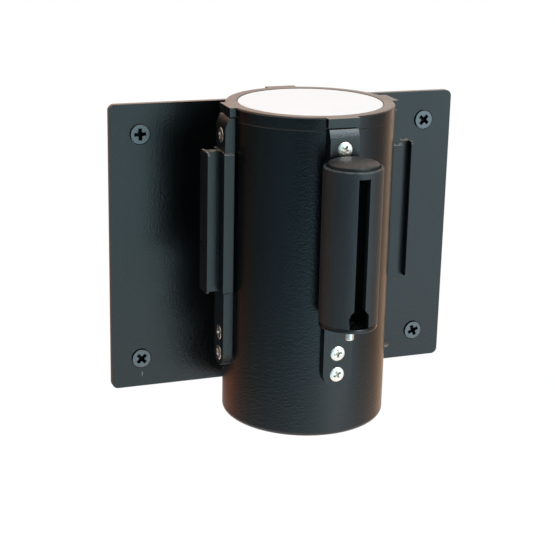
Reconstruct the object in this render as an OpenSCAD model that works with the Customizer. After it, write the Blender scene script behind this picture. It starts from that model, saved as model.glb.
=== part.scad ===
// Wall-mounted retractable belt barrier unit.
// A spring-driven spool of belt stands in a round housing on a flat wall plate. The belt ends in
// a slotted cylinder that drops over the T-rail of another unit. X runs along the wall, Y into
// the wall and Z up. The origin is the middle of the four wall screws, on the wall's surface.

/* [Housing] */
// Outer diameter of the round housing
housing_d = 76.2; // [76:0.1:77]
// Height of the tube below the cap ring
tube_h = 141.3; // [141:0.1:142]
// Wall thickness of the tube
wall_t = 2.5; // [2.4:0.05:2.6]
// Distance from the tube's axis to its four flat seats
seat_r = 37.5; // [37.3:0.1:37.6]
// Radius of the tube's lower outer edge
edge_r = 2.5; // [1.5:0.1:2.5]

/* [Cap] */
// Height of the cap ring above the tube
cap_h = 5.7; // [5.6:0.1:6]
// Radius of the disc in the cap ring
disc_r = 32.7; // [31:0.1:33]
// Thickness of the disc
disc_t = 1.3; // [1:0.1:1.4]
// Width of each of the four tabs
tab_w = 14.4; // [13.6:0.1:15]
// Distance from the axis to a tab's outer face
tab_r = 40.2; // [39:0.1:41]

/* [Wall plate] */
// Width of the wall plate
plate_w = 172.8; // [165:0.2:180]
// Height of the wall plate
plate_h = 138.4; // [130:0.2:140]
// Thickness of the wall plate
plate_t = 3; // [2.8:0.1:4]
// Radius of its corners
plate_corner_r = 3; // [2:0.5:6]
// Distance between the wall screws across
screw_span_x = 143.8; // [140:0.2:150]
// Distance between the wall screws up the plate
screw_span_z = 110; // [100:1:115]
// Sideways distance from the tube's axis to the plate's middle
plate_shift = 3; // [0:0.5:4]
// Height of the plate's middle above the tube's bottom
plate_mid = 72.8; // [72:0.1:73]
// Length of a wall screw behind the plate
wall_screw_reach = 25; // [20:1:32]

/* [Brackets and rails] */
// Width of a bracket
bracket_w = 13.4; // [13:0.1:14]
// Distance from the axis to a bracket's face
bracket_face = 42; // [41.5:0.1:42.2]
// Height of a bracket's lowest point
bracket_z0 = 25.7; // [24:0.1:27]
// Height of a bracket's top
bracket_z1 = 142.3; // [142:0.1:142.5]
// Distance from the axis to the pad's face
pad_face = 42.8; // [42.5:0.1:43]
// Width of the pad
pad_w = 16.4; // [15:0.1:17]
// Height of the rail's and the pad's lower end
rail_z0 = 62; // [60:0.5:64]
// Height of the rail's and the pad's upper end
rail_z1 = 127; // [125:0.5:128]
// Width of the rail's head
rail_head_w = 11.2; // [10.8:0.1:11.4]
// Width of the rail's neck
rail_neck_w = 3.8; // [3.4:0.1:4]

/* [Belt end] */
// Distance from the housing's axis to the belt end's axis
end_y = 51.7; // [51.5:0.1:52]
// Radius of the belt end
end_r = 12.9; // [12.8:0.1:13]
// Height of the belt end's lowest point
end_z0 = 60.6; // [60.2:0.1:61]
// Height of the belt end's rim
end_z1 = 129.1; // [129:0.1:130]
// Width of the slot for a rail's neck
slot_w = 5.2; // [4.8:0.1:5.6]
// Width of the slot's mouth
mouth_w = 9.1; // [8.5:0.1:9.5]

/* [Belt] */
// Width of the belt
belt_w = 50; // [48:0.5:50]
// Thickness of the belt
belt_t = 0.6; // [0.5:0.05:0.7]
// Radius of the drum
drum_r = 20; // [19:0.1:20.5]
// Radius of the full roll
roll_r = 28.9; // [27:0.1:29]
// Height of the belt's middle
belt_mid = 94; // [93.5:0.5:94.5]

/* [Hidden] */
$fn = 96;
GAP = 0.3;
STEEL = [0.62, 0.63, 0.65];
BRIGHT = [0.85, 0.86, 0.87];
BLACK = [0.09, 0.10, 0.11];
GREY = [0.24, 0.26, 0.28];
WEB = [0.10, 0.10, 0.11];
FRONT = 0;
RIGHT = 90;
BACK = 180;
LEFT = 270;

housing_r = housing_d / 2;
inner_r = housing_r - wall_t;
top_z = tube_h + cap_h;
tab_z0 = bracket_z1 + 0.7;
cap_edge_r = 0.9;
disc_z0 = top_z - disc_t - 0.1;
cap_floor_z = disc_z0 - 2.2;
spigot_z0 = tube_h - 1.7;
cap_screw_ring = 25;

// small screws: radii of head and shank, and their three heights on each bracket
head_r = 3.4;
head_h = 1.6;
shank_r = 1.75;
screw_hole_r = 1.9;
screw_levels = [31.6, 41.5, 133.8];
screw_length = 10;

// wall screws, their heads a little proud of the plate
wall_head_r = 4.5;
wall_head_rise = 0.8;
wall_rim_h = 0.3;
wall_neck_r = 2.5;
wall_shank_r = 2.4;
wall_hole_r = 2.6;
sink_r = wall_head_r - wall_head_rise + wall_rim_h;
sink_depth = sink_r - wall_hole_r;
plain_shank = 8;
thread_pitch = 2;
thread_root_r = 1.75;

// rail
neck_r = pad_face + 5.8;
rail_head_t = 1;
rail_face = neck_r + rail_head_t;
rail_edge = 0.3;
rail_corner_r = 1.5;
bevel_h = 4.3;
bevel_in = 1.8;

// cassette
bar_t = 3;
bar_r0 = 31.9;
bar_w = 12.8;
lower_plate_z = 17;
upper_plate_z = 136;
end_plate_t = 2;
end_plate_r = 34.6;
bar_screw_x = 3.6;
bar_screw_y = 33.1;
bar_screw_r = 0.8;
bar_screw_head_r = 1.6;
post_ring = 24;
post_r = 3;
base_z = 1.2;
base_t = 3;
slit_w = 3;
slit_h = belt_w + 4;
guide_r = 1.2;
guide_x = guide_r + belt_t / 2 + 0.15;
guide_y = -(bar_r0 + bar_t / 2);

// spool, spring and spindle
spindle_r = 5;
thread_r = 4;
bush_r = 7;
run_gap = 0.05;
belt_z0 = belt_mid - belt_w / 2;
belt_z1 = belt_mid + belt_w / 2;
flange_r = 31;
flange_t = 1.5;
drum_z0 = belt_z0 - 1;
drum_z1 = belt_z1 + 1;
web_t = 3;
lid_t = 1.5;
barrel_r = 29;
barrel_z0 = 27;
barrel_z1 = drum_z0 - flange_t - lid_t;
arbor_r = 8;
arbor_z1 = barrel_z1 - 1.5;
spring_t = 0.5;
spring_r0 = arbor_r + 0.2;
spring_half_turns = 20;
spring_pitch = 1.8;
spring_z0 = barrel_z0 + 3;
spring_z1 = barrel_z1 - 3;
spool_screw_ring = 12.5;

// route of the belt: it leaves the roll, bends round the right-hand guide pin and runs outwards
roll_mid_r = roll_r + belt_t / 2 + 0.05;
guide_mid_r = guide_r + belt_t / 2 + 0.03;
guide_far = norm([guide_x, guide_y]);
cross_angle = acos((roll_mid_r + guide_mid_r) / guide_far);
leave_angle = atan2(guide_y, guide_x) + cross_angle;
leave_point = roll_mid_r * [cos(leave_angle), sin(leave_angle)];
meet_point = [guide_x, guide_y] - guide_mid_r * [cos(leave_angle), sin(leave_angle)];
belt_x = guide_x - guide_mid_r;
join_y = -38.5;

// belt end
end_flat = end_y - pad_face - GAP;
end_wall = 2.1;
channel_w = rail_head_w + 0.6;
channel_y0 = -9.2;
channel_y1 = -4.9;
cavity_r = 10.4;
cavity_z1 = 126;
recess_z = 127;
recess_r = 11.4;
dome_r = 10.9;
dome_rise = 3;
mouth_z1 = 68.5;
shoulder_h = 2;
pin_r = 2;
pin_z0 = end_z0 + 1;
loop_gap = 0.05;

// ledge that the belt end is parked over, and the pin that stands down from it
ledge_t = 1.8;
ledge_z0 = end_z0 - GAP - ledge_t;
ledge_r = end_r - 0.1;
ledge_pin_y = end_y + 2.3;
ledge_pin_z0 = ledge_z0 - 6.2;

// ---- shared helpers ----

// moves a piece from the tube's own frame, with its axis on Z and its bottom at 0, to the row's
module in_row() {
    translate([-plate_shift, -(seat_r + plate_t), -plate_mid]) children();
}

// turns a piece that faces the front to one of the four sides
module on_side(turn) {
    rotate([0, 0, turn]) children();
}

// extrudes an outline drawn in X and Z, from the plane y = -r outwards
module stand_out(r, thickness) {
    translate([0, -r, 0]) rotate([90, 0, 0]) linear_extrude(thickness) children();
}

module disc(r, z, thickness) {
    translate([0, 0, z]) cylinder(r = r, h = thickness);
}

module around(count, ring_r, start = 0) {
    for (i = [0:count - 1])
        rotate([0, 0, start + i * 360 / count]) translate([ring_r, 0, 0]) children();
}

// cross recess, its mouth at z = 0 and its depth downwards
module cross_recess(r) {
    intersection() {
        translate([0, 0, -0.8 * r]) cylinder(r1 = 0.35 * r, r2 = 1.2 * r, h = r);
        for (turn = [0, 90])
            rotate([0, 0, turn]) cube([2 * r, 0.5 * r, 4 * r], center = true);
    }
}

// countersunk screw, its head's face at z = 0 and its shank downwards
module flat_screw(r, head, shank, length) {
    difference() {
        union() {
            translate([0, 0, -head]) cylinder(r1 = shank, r2 = r, h = head);
            translate([0, 0, -length]) cylinder(r = shank, h = length - head);
        }
        cross_recess(0.55 * r);
    }
}

// hole for a countersunk screw, as a tool to cut with, its mouth at z = 0
module sunk_hole(r, head, hole, depth) {
    translate([0, 0, -head]) cylinder(r1 = hole, r2 = r, h = head);
    translate([0, 0, -depth]) cylinder(r = hole, h = depth);
    translate([0, 0, -0.01]) cylinder(r = r, h = 1);
}

// places something that looks along +Z so that it looks outwards from the front face
module facing_out(r, z) {
    translate([0, -r, z]) rotate([90, 0, 0]) children();
}

// ---- wall plate and its screws ----

module plate_outline() {
    inset_w = plate_w - 2 * plate_corner_r;
    inset_h = plate_h - 2 * plate_corner_r;
    square([plate_w, inset_h], center = true);
    square([inset_w, plate_h], center = true);
    for (sx = [-0.5, 0.5], sz = [-0.5, 0.5])
        translate([sx * inset_w, sz * inset_h]) circle(r = plate_corner_r);
}

module at_wall_screws() {
    for (sx = [-0.5, 0.5], sz = [-0.5, 0.5])
        translate([plate_shift + sx * screw_span_x, 0, plate_mid + sz * screw_span_z])
            children();
}

module wall_plate() {
    color(BLACK) in_row() difference() {
        translate([plate_shift, seat_r + plate_t, plate_mid])
            rotate([90, 0, 0]) linear_extrude(plate_t) plate_outline();
        at_wall_screws()
            translate([0, seat_r, 0]) rotate([90, 0, 0])
                sunk_hole(sink_r, sink_depth, wall_hole_r, plate_t + 1);
        for (z = screw_levels)
            translate([0, seat_r + plate_t, z]) rotate([-90, 0, 0])
                sunk_hole(head_r + 0.1, head_h, screw_hole_r, plate_t + 1);
    }
}

// half profile of a wood screw's thread and point, from z = 0 down to -length
function thread_profile(length) =
    let (turns = floor((length - 4) / thread_pitch))
    concat(
        [[0, 0], [thread_root_r, 0]],
        [for (i = [0:turns - 1]) each [
            [thread_root_r, -i * thread_pitch - 0.2],
            [wall_shank_r, -(i + 0.5) * thread_pitch],
            [thread_root_r, -(i + 1) * thread_pitch + 0.2]]],
        [[thread_root_r, -turns * thread_pitch], [0, -length]]);

module wall_screw() {
    cone = wall_head_r - wall_neck_r;
    head = cone + wall_rim_h;
    neck = plate_t + wall_head_rise;
    plain = neck + plain_shank;
    whole = neck + wall_screw_reach;
    difference() {
        union() {
            disc(wall_head_r, -wall_rim_h, wall_rim_h);
            translate([0, 0, -head]) cylinder(r1 = wall_neck_r, r2 = wall_head_r, h = cone);
            translate([0, 0, -neck])
                cylinder(r1 = wall_shank_r, r2 = wall_neck_r, h = neck - head);
            translate([0, 0, -plain]) cylinder(r = wall_shank_r, h = plain - neck);
            translate([0, 0, -plain]) rotate_extrude() polygon(thread_profile(whole - plain));
        }
        cross_recess(0.7 * wall_head_r);
    }
}

module wall_screws() {
    color(BLACK) in_row() at_wall_screws()
        translate([0, seat_r - wall_head_rise, 0]) rotate([90, 0, 0])
            rotate([0, 0, 45]) wall_screw();
}

module plate_screws() {
    color(STEEL) in_row() for (z = screw_levels)
        translate([0, seat_r + plate_t, z]) rotate([-90, 0, 0])
            flat_screw(head_r, head_h, shank_r, screw_length - 1.5);
}

// ---- housing, base and cap ----

// outline of a bracket's seat, wider than the bracket by a hair
module seat_outline(z0) {
    translate([-bracket_w / 2 - 0.2, z0 + bracket_w / 2]) square([bracket_w + 0.4, 2 * tube_h]);
    translate([0, z0 + bracket_w / 2]) circle(d = bracket_w + 0.4);
}

module tube_wall() {
    rotate_extrude($fn = 144) {
        translate([inner_r, edge_r]) square([wall_t, tube_h - edge_r]);
        intersection() {
            translate([housing_r - edge_r, edge_r]) circle(r = edge_r);
            translate([inner_r, 0]) square([wall_t, edge_r]);
        }
        translate([inner_r, 0]) square([max(wall_t - edge_r, 0.01), edge_r]);
    }
}

module housing_tube() {
    color(BLACK) in_row() difference() {
        tube_wall();
        for (turn = [FRONT, LEFT, RIGHT])
            on_side(turn) stand_out(seat_r, 5) seat_outline(bracket_z0);
        on_side(BACK) stand_out(seat_r, 5) translate([-20, -1]) square([40, 2 * tube_h]);
        for (turn = [FRONT, LEFT, RIGHT, BACK], z = screw_levels)
            on_side(turn) facing_out(30, z) cylinder(r = screw_hole_r, h = 20);
        translate([-slit_w / 2, -housing_r - 2, belt_mid - slit_h / 2])
            cube([slit_w, 8, slit_h]);
    }
}

module base_cover() {
    color(BLACK) in_row() difference() {
        union() {
            disc(inner_r - 0.2, base_z, base_t);
            translate([0, 0, base_z + base_t]) rotate_extrude()
                translate([inner_r - 2.2, 0]) square([2, 5]);
        }
        around(3, post_ring, 30)
            translate([0, 0, base_z]) rotate([180, 0, 0])
                sunk_hole(head_r + 0.1, head_h, screw_hole_r, base_t + 1);
    }
}

module base_posts() {
    z0 = base_z + base_t;
    color(STEEL) in_row() around(3, post_ring, 30) difference() {
        union() {
            disc(post_r, z0, lower_plate_z - z0);
            disc(1.5, lower_plate_z, end_plate_t);
        }
        disc(shank_r, z0 - 1, 8.4);
    }
}

module base_screws() {
    color(STEEL) in_row() around(3, post_ring, 30)
        translate([0, 0, base_z]) rotate([180, 0, 0])
            flat_screw(head_r, head_h, shank_r, screw_length);
}

module cap_section() {
    ring_w = housing_r - disc_r - 0.2;
    translate([disc_r + 0.2, tube_h]) square([ring_w, cap_h - cap_edge_r]);
    translate([disc_r + 0.2, tube_h]) square([ring_w - cap_edge_r, cap_h]);
    translate([housing_r - cap_edge_r, top_z - cap_edge_r]) circle(r = cap_edge_r);
    translate([0, cap_floor_z]) square([housing_r - 1, disc_z0 - cap_floor_z]);
    translate([inner_r - 2.6, spigot_z0]) square([2.4, top_z - spigot_z0 - 2]);
}

module cap_ring() {
    color(BLACK) in_row() difference() {
        union() {
            difference() {
                rotate_extrude($fn = 144) cap_section();
                for (turn = [FRONT, LEFT, RIGHT, BACK])
                    on_side(turn) translate([-tab_w / 2, -50, tube_h - 1])
                        cube([tab_w, 50 - seat_r, tab_z0 - tube_h + 1]);
            }
            for (turn = [FRONT, LEFT, RIGHT, BACK])
                on_side(turn) translate([-tab_w / 2, -tab_r, tab_z0])
                    cube([tab_w, tab_r - housing_r + 2, top_z - tab_z0]);
            around(3, cap_screw_ring)
                disc(3.5, upper_plate_z + end_plate_t,
                    cap_floor_z - upper_plate_z - end_plate_t + 0.1);
        }
        around(3, cap_screw_ring)
            translate([0, 0, disc_z0])
                sunk_hole(head_r + 0.1, head_h, screw_hole_r, 20);
    }
}

module cap_disc() {
    color("white") in_row() disc(disc_r, disc_z0, disc_t);
}

module cap_screws() {
    color(STEEL) in_row() around(3, cap_screw_ring)
        translate([0, 0, disc_z0]) flat_screw(head_r, head_h, shank_r, screw_length);
}

// ---- brackets, receivers, ledge and their screws ----

module bracket_outline() {
    translate([-bracket_w / 2, bracket_z0 + bracket_w / 2])
        square([bracket_w, bracket_z1 - bracket_z0 - bracket_w / 2]);
    translate([0, bracket_z0 + bracket_w / 2]) circle(d = bracket_w);
}

// upright strip with rounded corners, as high as the rail
module strip_outline(w, r) {
    translate([-w / 2, rail_z0 + r]) square([w, rail_z1 - rail_z0 - 2 * r]);
    translate([-w / 2 + r, rail_z0]) square([w - 2 * r, rail_z1 - rail_z0]);
    for (sx = [-1, 1], z = [rail_z0 + r, rail_z1 - r])
        translate([sx * (w / 2 - r), z]) circle(r = r);
}

// plate with a round lower end and a bevelled top, and the raised pad on it
module bracket_body() {
    slope = atan2(bevel_in, bevel_h);
    difference() {
        stand_out(seat_r, bracket_face - seat_r) bracket_outline();
        translate([-bracket_w, -bracket_face, bracket_z1 - bevel_h])
            rotate([-slope, 0, 0]) translate([0, -10, -1]) cube([2 * bracket_w, 10, 10]);
        for (z = screw_levels)
            facing_out(bracket_face, z)
                sunk_hole(head_r + 0.1, head_h, screw_hole_r, 10);
    }
}

module pad() {
    stand_out(housing_r + 0.2, pad_face - housing_r - 0.2) strip_outline(pad_w, 1);
}

// T-rail: a neck, and a thin head with rounded corners and bevelled long edges
module rail() {
    half = rail_head_w / 2;
    length = rail_z1 - rail_z0;
    translate([-rail_neck_w / 2, -neck_r - rail_head_t / 2, rail_z0])
        cube([rail_neck_w, neck_r + rail_head_t / 2 - pad_face + 0.5, length]);
    intersection() {
        stand_out(neck_r, rail_head_t) strip_outline(rail_head_w, rail_corner_r);
        translate([0, 0, rail_z0]) linear_extrude(length) polygon([
            [-half, -neck_r], [half, -neck_r],
            [half, -rail_face + rail_edge], [half - rail_edge, -rail_face],
            [-half + rail_edge, -rail_face], [-half, -rail_face + rail_edge]]);
    }
}

module receiver() {
    bracket_body();
    pad();
    rail();
}

module mouth_bracket() {
    color(BLACK) in_row() difference() {
        union() {
            bracket_body();
            pad();
        }
        translate([-slit_w / 2, -pad_face - 1, belt_mid - slit_h / 2])
            cube([slit_w, 10, slit_h]);
    }
}

module left_receiver() {
    color(BLACK) in_row() on_side(LEFT) receiver();
}

module right_receiver() {
    color(BLACK) in_row() on_side(RIGHT) receiver();
}

module rest_ledge() {
    color([0.05, 0.06, 0.07]) in_row() difference() {
        translate([0, -end_y, ledge_z0]) linear_extrude(ledge_t)
            end_outline(ledge_r, end_y - bracket_face);
        translate([0, -ledge_pin_y, 0]) disc(pin_r, ledge_z0 - 1, ledge_t + 2);
    }
}

module ledge_pin() {
    color(BRIGHT) in_row() translate([0, -ledge_pin_y, 0]) {
        disc(pin_r, ledge_pin_z0 + 0.5, ledge_z0 + ledge_t - ledge_pin_z0 - 0.5);
        translate([0, 0, ledge_pin_z0]) cylinder(r1 = pin_r - 0.5, r2 = pin_r, h = 0.5);
    }
}

module screw_row(turn) {
    color(BRIGHT) in_row() on_side(turn) for (i = [0:2])
        facing_out(bracket_face, screw_levels[i])
            rotate([0, 0, 35 - 25 * i]) flat_screw(head_r, head_h, shank_r, screw_length);
}

module front_screws() {
    screw_row(FRONT);
}

module left_screws() {
    screw_row(LEFT);
}

module right_screws() {
    screw_row(RIGHT);
}

// ---- cassette frame ----

module bar(turn) {
    z0 = lower_plate_z + end_plate_t;
    color(STEEL) in_row() on_side(turn) difference() {
        translate([-bar_w / 2, -bar_r0 - bar_t, z0]) cube([bar_w, bar_t, upper_plate_z - z0]);
        for (z = screw_levels)
            facing_out(bar_r0 - 1, z) cylinder(r = shank_r, h = bar_t + 2);
        for (x = [-bar_screw_x, bar_screw_x], z = [z0, upper_plate_z])
            translate([x, -bar_screw_y, z]) cylinder(r = bar_screw_r, h = 14, center = true);
        if (turn == FRONT) guide_opening();
    }
}

// opening of the front bar: the belt's slit, and the two bores that hold the guide pins
module guide_opening() {
    wide = 2 * (guide_x + guide_r);
    translate([-wide / 2, -bar_r0 - bar_t - 1, belt_mid - slit_h / 2])
        cube([wide, bar_t + 2, slit_h]);
    for (side = [-1, 1])
        translate([side * guide_x, guide_y, belt_mid])
            cylinder(r = guide_r, h = slit_h + 8, center = true);
}

module front_bar() {
    bar(FRONT);
}

module left_bar() {
    bar(LEFT);
}

module right_bar() {
    bar(RIGHT);
}

module back_bar() {
    bar(BACK);
}

// the places of the eight screws through one end plate, two into each bar
module at_bar_screws() {
    for (turn = [FRONT, RIGHT, BACK, LEFT], x = [-bar_screw_x, bar_screw_x])
        on_side(turn) translate([x, -bar_screw_y, 0]) children();
}

module bar_screws() {
    color(STEEL) in_row() at_bar_screws() {
        disc(bar_screw_r, upper_plate_z - 6, 6 + end_plate_t);
        disc(bar_screw_head_r, upper_plate_z + end_plate_t, 1.2);
        disc(bar_screw_r, lower_plate_z, 6 + end_plate_t);
        disc(bar_screw_head_r, lower_plate_z - 1.2, 1.2);
    }
}

module end_plate(z) {
    difference() {
        disc(end_plate_r, z, end_plate_t);
        disc(thread_r + run_gap, z - 1, end_plate_t + 2);
        at_bar_screws() disc(bar_screw_r, z - 1, end_plate_t + 2);
        children();
    }
}

module top_plate() {
    color(STEEL) in_row() end_plate(upper_plate_z)
        around(3, cap_screw_ring) disc(shank_r, upper_plate_z - 1, end_plate_t + 2);
}

module bottom_plate() {
    color(STEEL) in_row() end_plate(lower_plate_z)
        around(3, post_ring, 30) disc(1.5, lower_plate_z - 1, end_plate_t + 2);
}

module guide_pins() {
    color(BRIGHT) in_row() for (side = [-1, 1])
        translate([side * guide_x, guide_y, belt_mid])
            cylinder(r = guide_r, h = slit_h + 8, center = true);
}

// ---- spindle, spring and spool ----

module spindle() {
    low = lower_plate_z + end_plate_t;
    color(BRIGHT) in_row() {
        disc(spindle_r, low, upper_plate_z - low);
        disc(thread_r, low - 7, 7);
        disc(thread_r, upper_plate_z, end_plate_t + 4);
    }
}

module spindle_nuts() {
    color(STEEL) in_row() for (z = [lower_plate_z - 3.6, upper_plate_z + end_plate_t + 0.6])
        difference() {
            translate([0, 0, z]) cylinder(r = 7, h = 3, $fn = 6);
            disc(thread_r, z - 1, 5);
        }
}

module spindle_washers() {
    color(STEEL) in_row() for (z = [lower_plate_z - 0.6, upper_plate_z + end_plate_t])
        difference() {
            disc(8, z, 0.6);
            disc(thread_r, z - 1, 3);
        }
}

module spring_arbor() {
    low = lower_plate_z + end_plate_t;
    color(GREY) in_row() difference() {
        disc(arbor_r, low, arbor_z1 - low);
        disc(spindle_r, low - 1, arbor_z1);
        translate([0, -0.5, spring_z0 - 1]) cube([20, 1, spring_z1 - spring_z0 + 2]);
    }
}

// a spiral strip built from half rings whose centres alternate by a quarter of the pitch
module spiral_outline() {
    step = spring_pitch / 2;
    for (i = [0:spring_half_turns - 1]) {
        side = (i % 2 == 0) ? 1 : -1;
        radius = spring_r0 + spring_pitch / 4 + i * step;
        translate([-side * step / 2, 0]) intersection() {
            difference() {
                circle(r = radius + spring_t);
                circle(r = radius);
            }
            translate([-50, side > 0 ? 0 : -50]) square([100, 50]);
        }
    }
}

module power_spring() {
    color([0.35, 0.37, 0.42]) in_row() translate([0, 0, spring_z0])
        linear_extrude(spring_z1 - spring_z0) spiral_outline();
}

module spring_barrel() {
    color(GREY) in_row() difference() {
        disc(barrel_r, barrel_z0, barrel_z1 - barrel_z0);
        disc(barrel_r - 1.4, barrel_z0 + 2, barrel_z1);
        disc(arbor_r + 0.4, barrel_z0 - 1, 5);
    }
}

module at_spool_screws() {
    around(3, spool_screw_ring, 60) children();
}

module barrel_lid() {
    color(GREY) in_row() difference() {
        disc(barrel_r, barrel_z1, lid_t);
        disc(bush_r, barrel_z1 - 1, lid_t + 2);
        at_spool_screws() disc(1.5, barrel_z1 - 1, lid_t + 2);
    }
}

module spool_drum() {
    color(GREY) in_row() difference() {
        disc(drum_r, drum_z0, drum_z1 - drum_z0);
        disc(drum_r - 2, drum_z0 + web_t, drum_z1 - drum_z0 - 2 * web_t);
        disc(bush_r, drum_z0 - 1, drum_z1 - drum_z0 + 2);
        at_spool_screws() {
            disc(1.5, drum_z0 - 1, web_t + 1);
            disc(1.5, drum_z1 - web_t, web_t + 1);
        }
    }
}

module flange(z) {
    difference() {
        disc(flange_r, z, flange_t);
        disc(bush_r, z - 1, flange_t + 2);
        at_spool_screws() disc(1.5, z - 1, flange_t + 2);
    }
}

module upper_flange() {
    color(GREY) in_row() flange(drum_z1);
}

module lower_flange() {
    color(GREY) in_row() flange(drum_z0 - flange_t);
}

module upper_bush() {
    z = drum_z1 - web_t;
    color([0.75, 0.6, 0.35]) in_row() difference() {
        union() {
            disc(bush_r, z, web_t + flange_t);
            disc(bush_r + 2, drum_z1 + flange_t, 1.2);
        }
        disc(spindle_r + run_gap, z - 1, 10);
    }
}

module lower_bush() {
    color([0.75, 0.6, 0.35]) in_row() difference() {
        union() {
            disc(bush_r, barrel_z1, lid_t + flange_t + web_t);
            disc(bush_r + 2, barrel_z1 - 1.4, 1.4);
        }
        disc(spindle_r + run_gap, barrel_z1 - 3, 12);
    }
}

module spool_screws() {
    low = barrel_z1;
    high = drum_z1 + flange_t;
    color(STEEL) in_row() at_spool_screws() {
        disc(1.5, low, lid_t + flange_t + web_t);
        disc(2.6, low - 1.3, 1.3);
        disc(1.5, drum_z1 - web_t, high - drum_z1 + web_t);
        disc(2.6, high, 1.3);
    }
}

// ---- belt ----

module belt_roll() {
    color(WEB) in_row() difference() {
        disc(roll_r, belt_z0, belt_w);
        disc(drum_r, belt_z0 - 1, belt_w + 2);
    }
}

// the stretch from the roll past the guide pin into the slit
module belt_feed() {
    run = meet_point - leave_point;
    heading = atan2(run[1], run[0]);
    color(WEB) in_row() translate([0, 0, belt_z0]) linear_extrude(belt_w) {
        translate(leave_point) rotate(heading)
            translate([0, -belt_t / 2]) square([norm(run), belt_t]);
        translate([guide_x, guide_y]) intersection() {
            difference() {
                circle(r = guide_mid_r + belt_t / 2);
                circle(r = guide_mid_r - belt_t / 2);
            }
            polygon([[0, 0], 4 * [cos(180 + leave_angle), sin(180 + leave_angle)],
                [-4, 2], [-4, 0]]);
        }
        translate([belt_x - belt_t / 2, join_y]) square([belt_t, guide_y - join_y]);
    }
}

// the stretch from the slit to the belt end's pin, sewn to itself round the pin
module belt_lead() {
    inner = pin_r + loop_gap;
    color(WEB) in_row() translate([0, -end_y, belt_z0]) linear_extrude(belt_w) {
        difference() {
            union() {
                circle(r = inner + belt_t);
                translate([-belt_t, 0]) square([2 * belt_t, 7.5]);
            }
            circle(r = inner);
        }
        translate([belt_x - belt_t / 2, inner]) square([belt_t, end_y + join_y - inner]);
    }
}

// ---- belt end ----

// round outline with the flat back that meets the pad
module end_outline(r, flat) {
    intersection() {
        circle(r = r);
        translate([-30, -30]) square([60, 30 + flat]);
    }
}

module channel_outline() {
    translate([-channel_w / 2, channel_y0]) square([channel_w, channel_y1 - channel_y0]);
}

module cavity_outline() {
    channel_outline();
    intersection() {
        end_outline(cavity_r, end_flat - end_wall);
        translate([-30, channel_y0]) square([60, 60]);
    }
}

module slot_outline() {
    translate([-slot_w / 2, mouth_z1 - 1]) square([slot_w, cavity_z1 - mouth_z1 + 1]);
    polygon([[-mouth_w / 2, 0], [mouth_w / 2, 0], [mouth_w / 2, mouth_z1 - shoulder_h],
        [slot_w / 2, mouth_z1], [-slot_w / 2, mouth_z1], [-mouth_w / 2, mouth_z1 - shoulder_h]]);
}

module belt_end_shell() {
    color(BLACK) in_row() translate([0, -end_y, 0]) difference() {
        translate([0, 0, end_z0]) linear_extrude(end_z1 - end_z0) end_outline(end_r, end_flat);
        translate([0, 0, end_z0 - 1]) linear_extrude(cavity_z1 - end_z0 + 1) cavity_outline();
        stand_out(cavity_r - 2, 10) slot_outline();
        translate([0, 0, recess_z]) linear_extrude(10) end_outline(recess_r, end_flat - 1);
        translate([-1.2, 0, belt_z0 - 1]) cube([2.4, 20, belt_w + 2]);
        disc(pin_r, cavity_z1 - 1, 1.5);
    }
}

module belt_end_cap() {
    rise = end_z1 + dome_rise - recess_z - 1.2;
    ball_r = (dome_r * dome_r + 1.8 * 1.8) / 3.6;
    color(BLACK) in_row() translate([0, -end_y, 0]) intersection() {
        translate([0, 0, recess_z]) rotate_extrude() intersection() {
            translate([0, rise + 1.2 - ball_r]) circle(r = ball_r, $fn = 360);
            square([dome_r, 20]);
        }
        linear_extrude(200) end_outline(20, end_flat - 1.4);
    }
}

module belt_pin() {
    color(BLACK) in_row() translate([0, -end_y, 0])
        disc(pin_r, pin_z0, cavity_z1 + 0.5 - pin_z0);
}

wall_plate();
wall_screws();
plate_screws();
housing_tube();
base_cover();
base_posts();
base_screws();
cap_ring();
cap_disc();
cap_screws();
mouth_bracket();
left_receiver();
right_receiver();
rest_ledge();
ledge_pin();
front_screws();
left_screws();
right_screws();
front_bar();
left_bar();
right_bar();
back_bar();
bar_screws();
top_plate();
bottom_plate();
guide_pins();
spindle();
spindle_nuts();
spindle_washers();
spring_arbor();
power_spring();
spring_barrel();
barrel_lid();
spool_drum();
upper_flange();
lower_flange();
upper_bush();
lower_bush();
spool_screws();
belt_roll();
belt_feed();
belt_lead();
belt_end_shell();
belt_end_cap();
belt_pin();
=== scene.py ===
import math

import bmesh
import bpy
from bpy.props import FloatProperty, FloatVectorProperty, IntProperty, PointerProperty
from mathutils import Matrix, Vector


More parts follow.
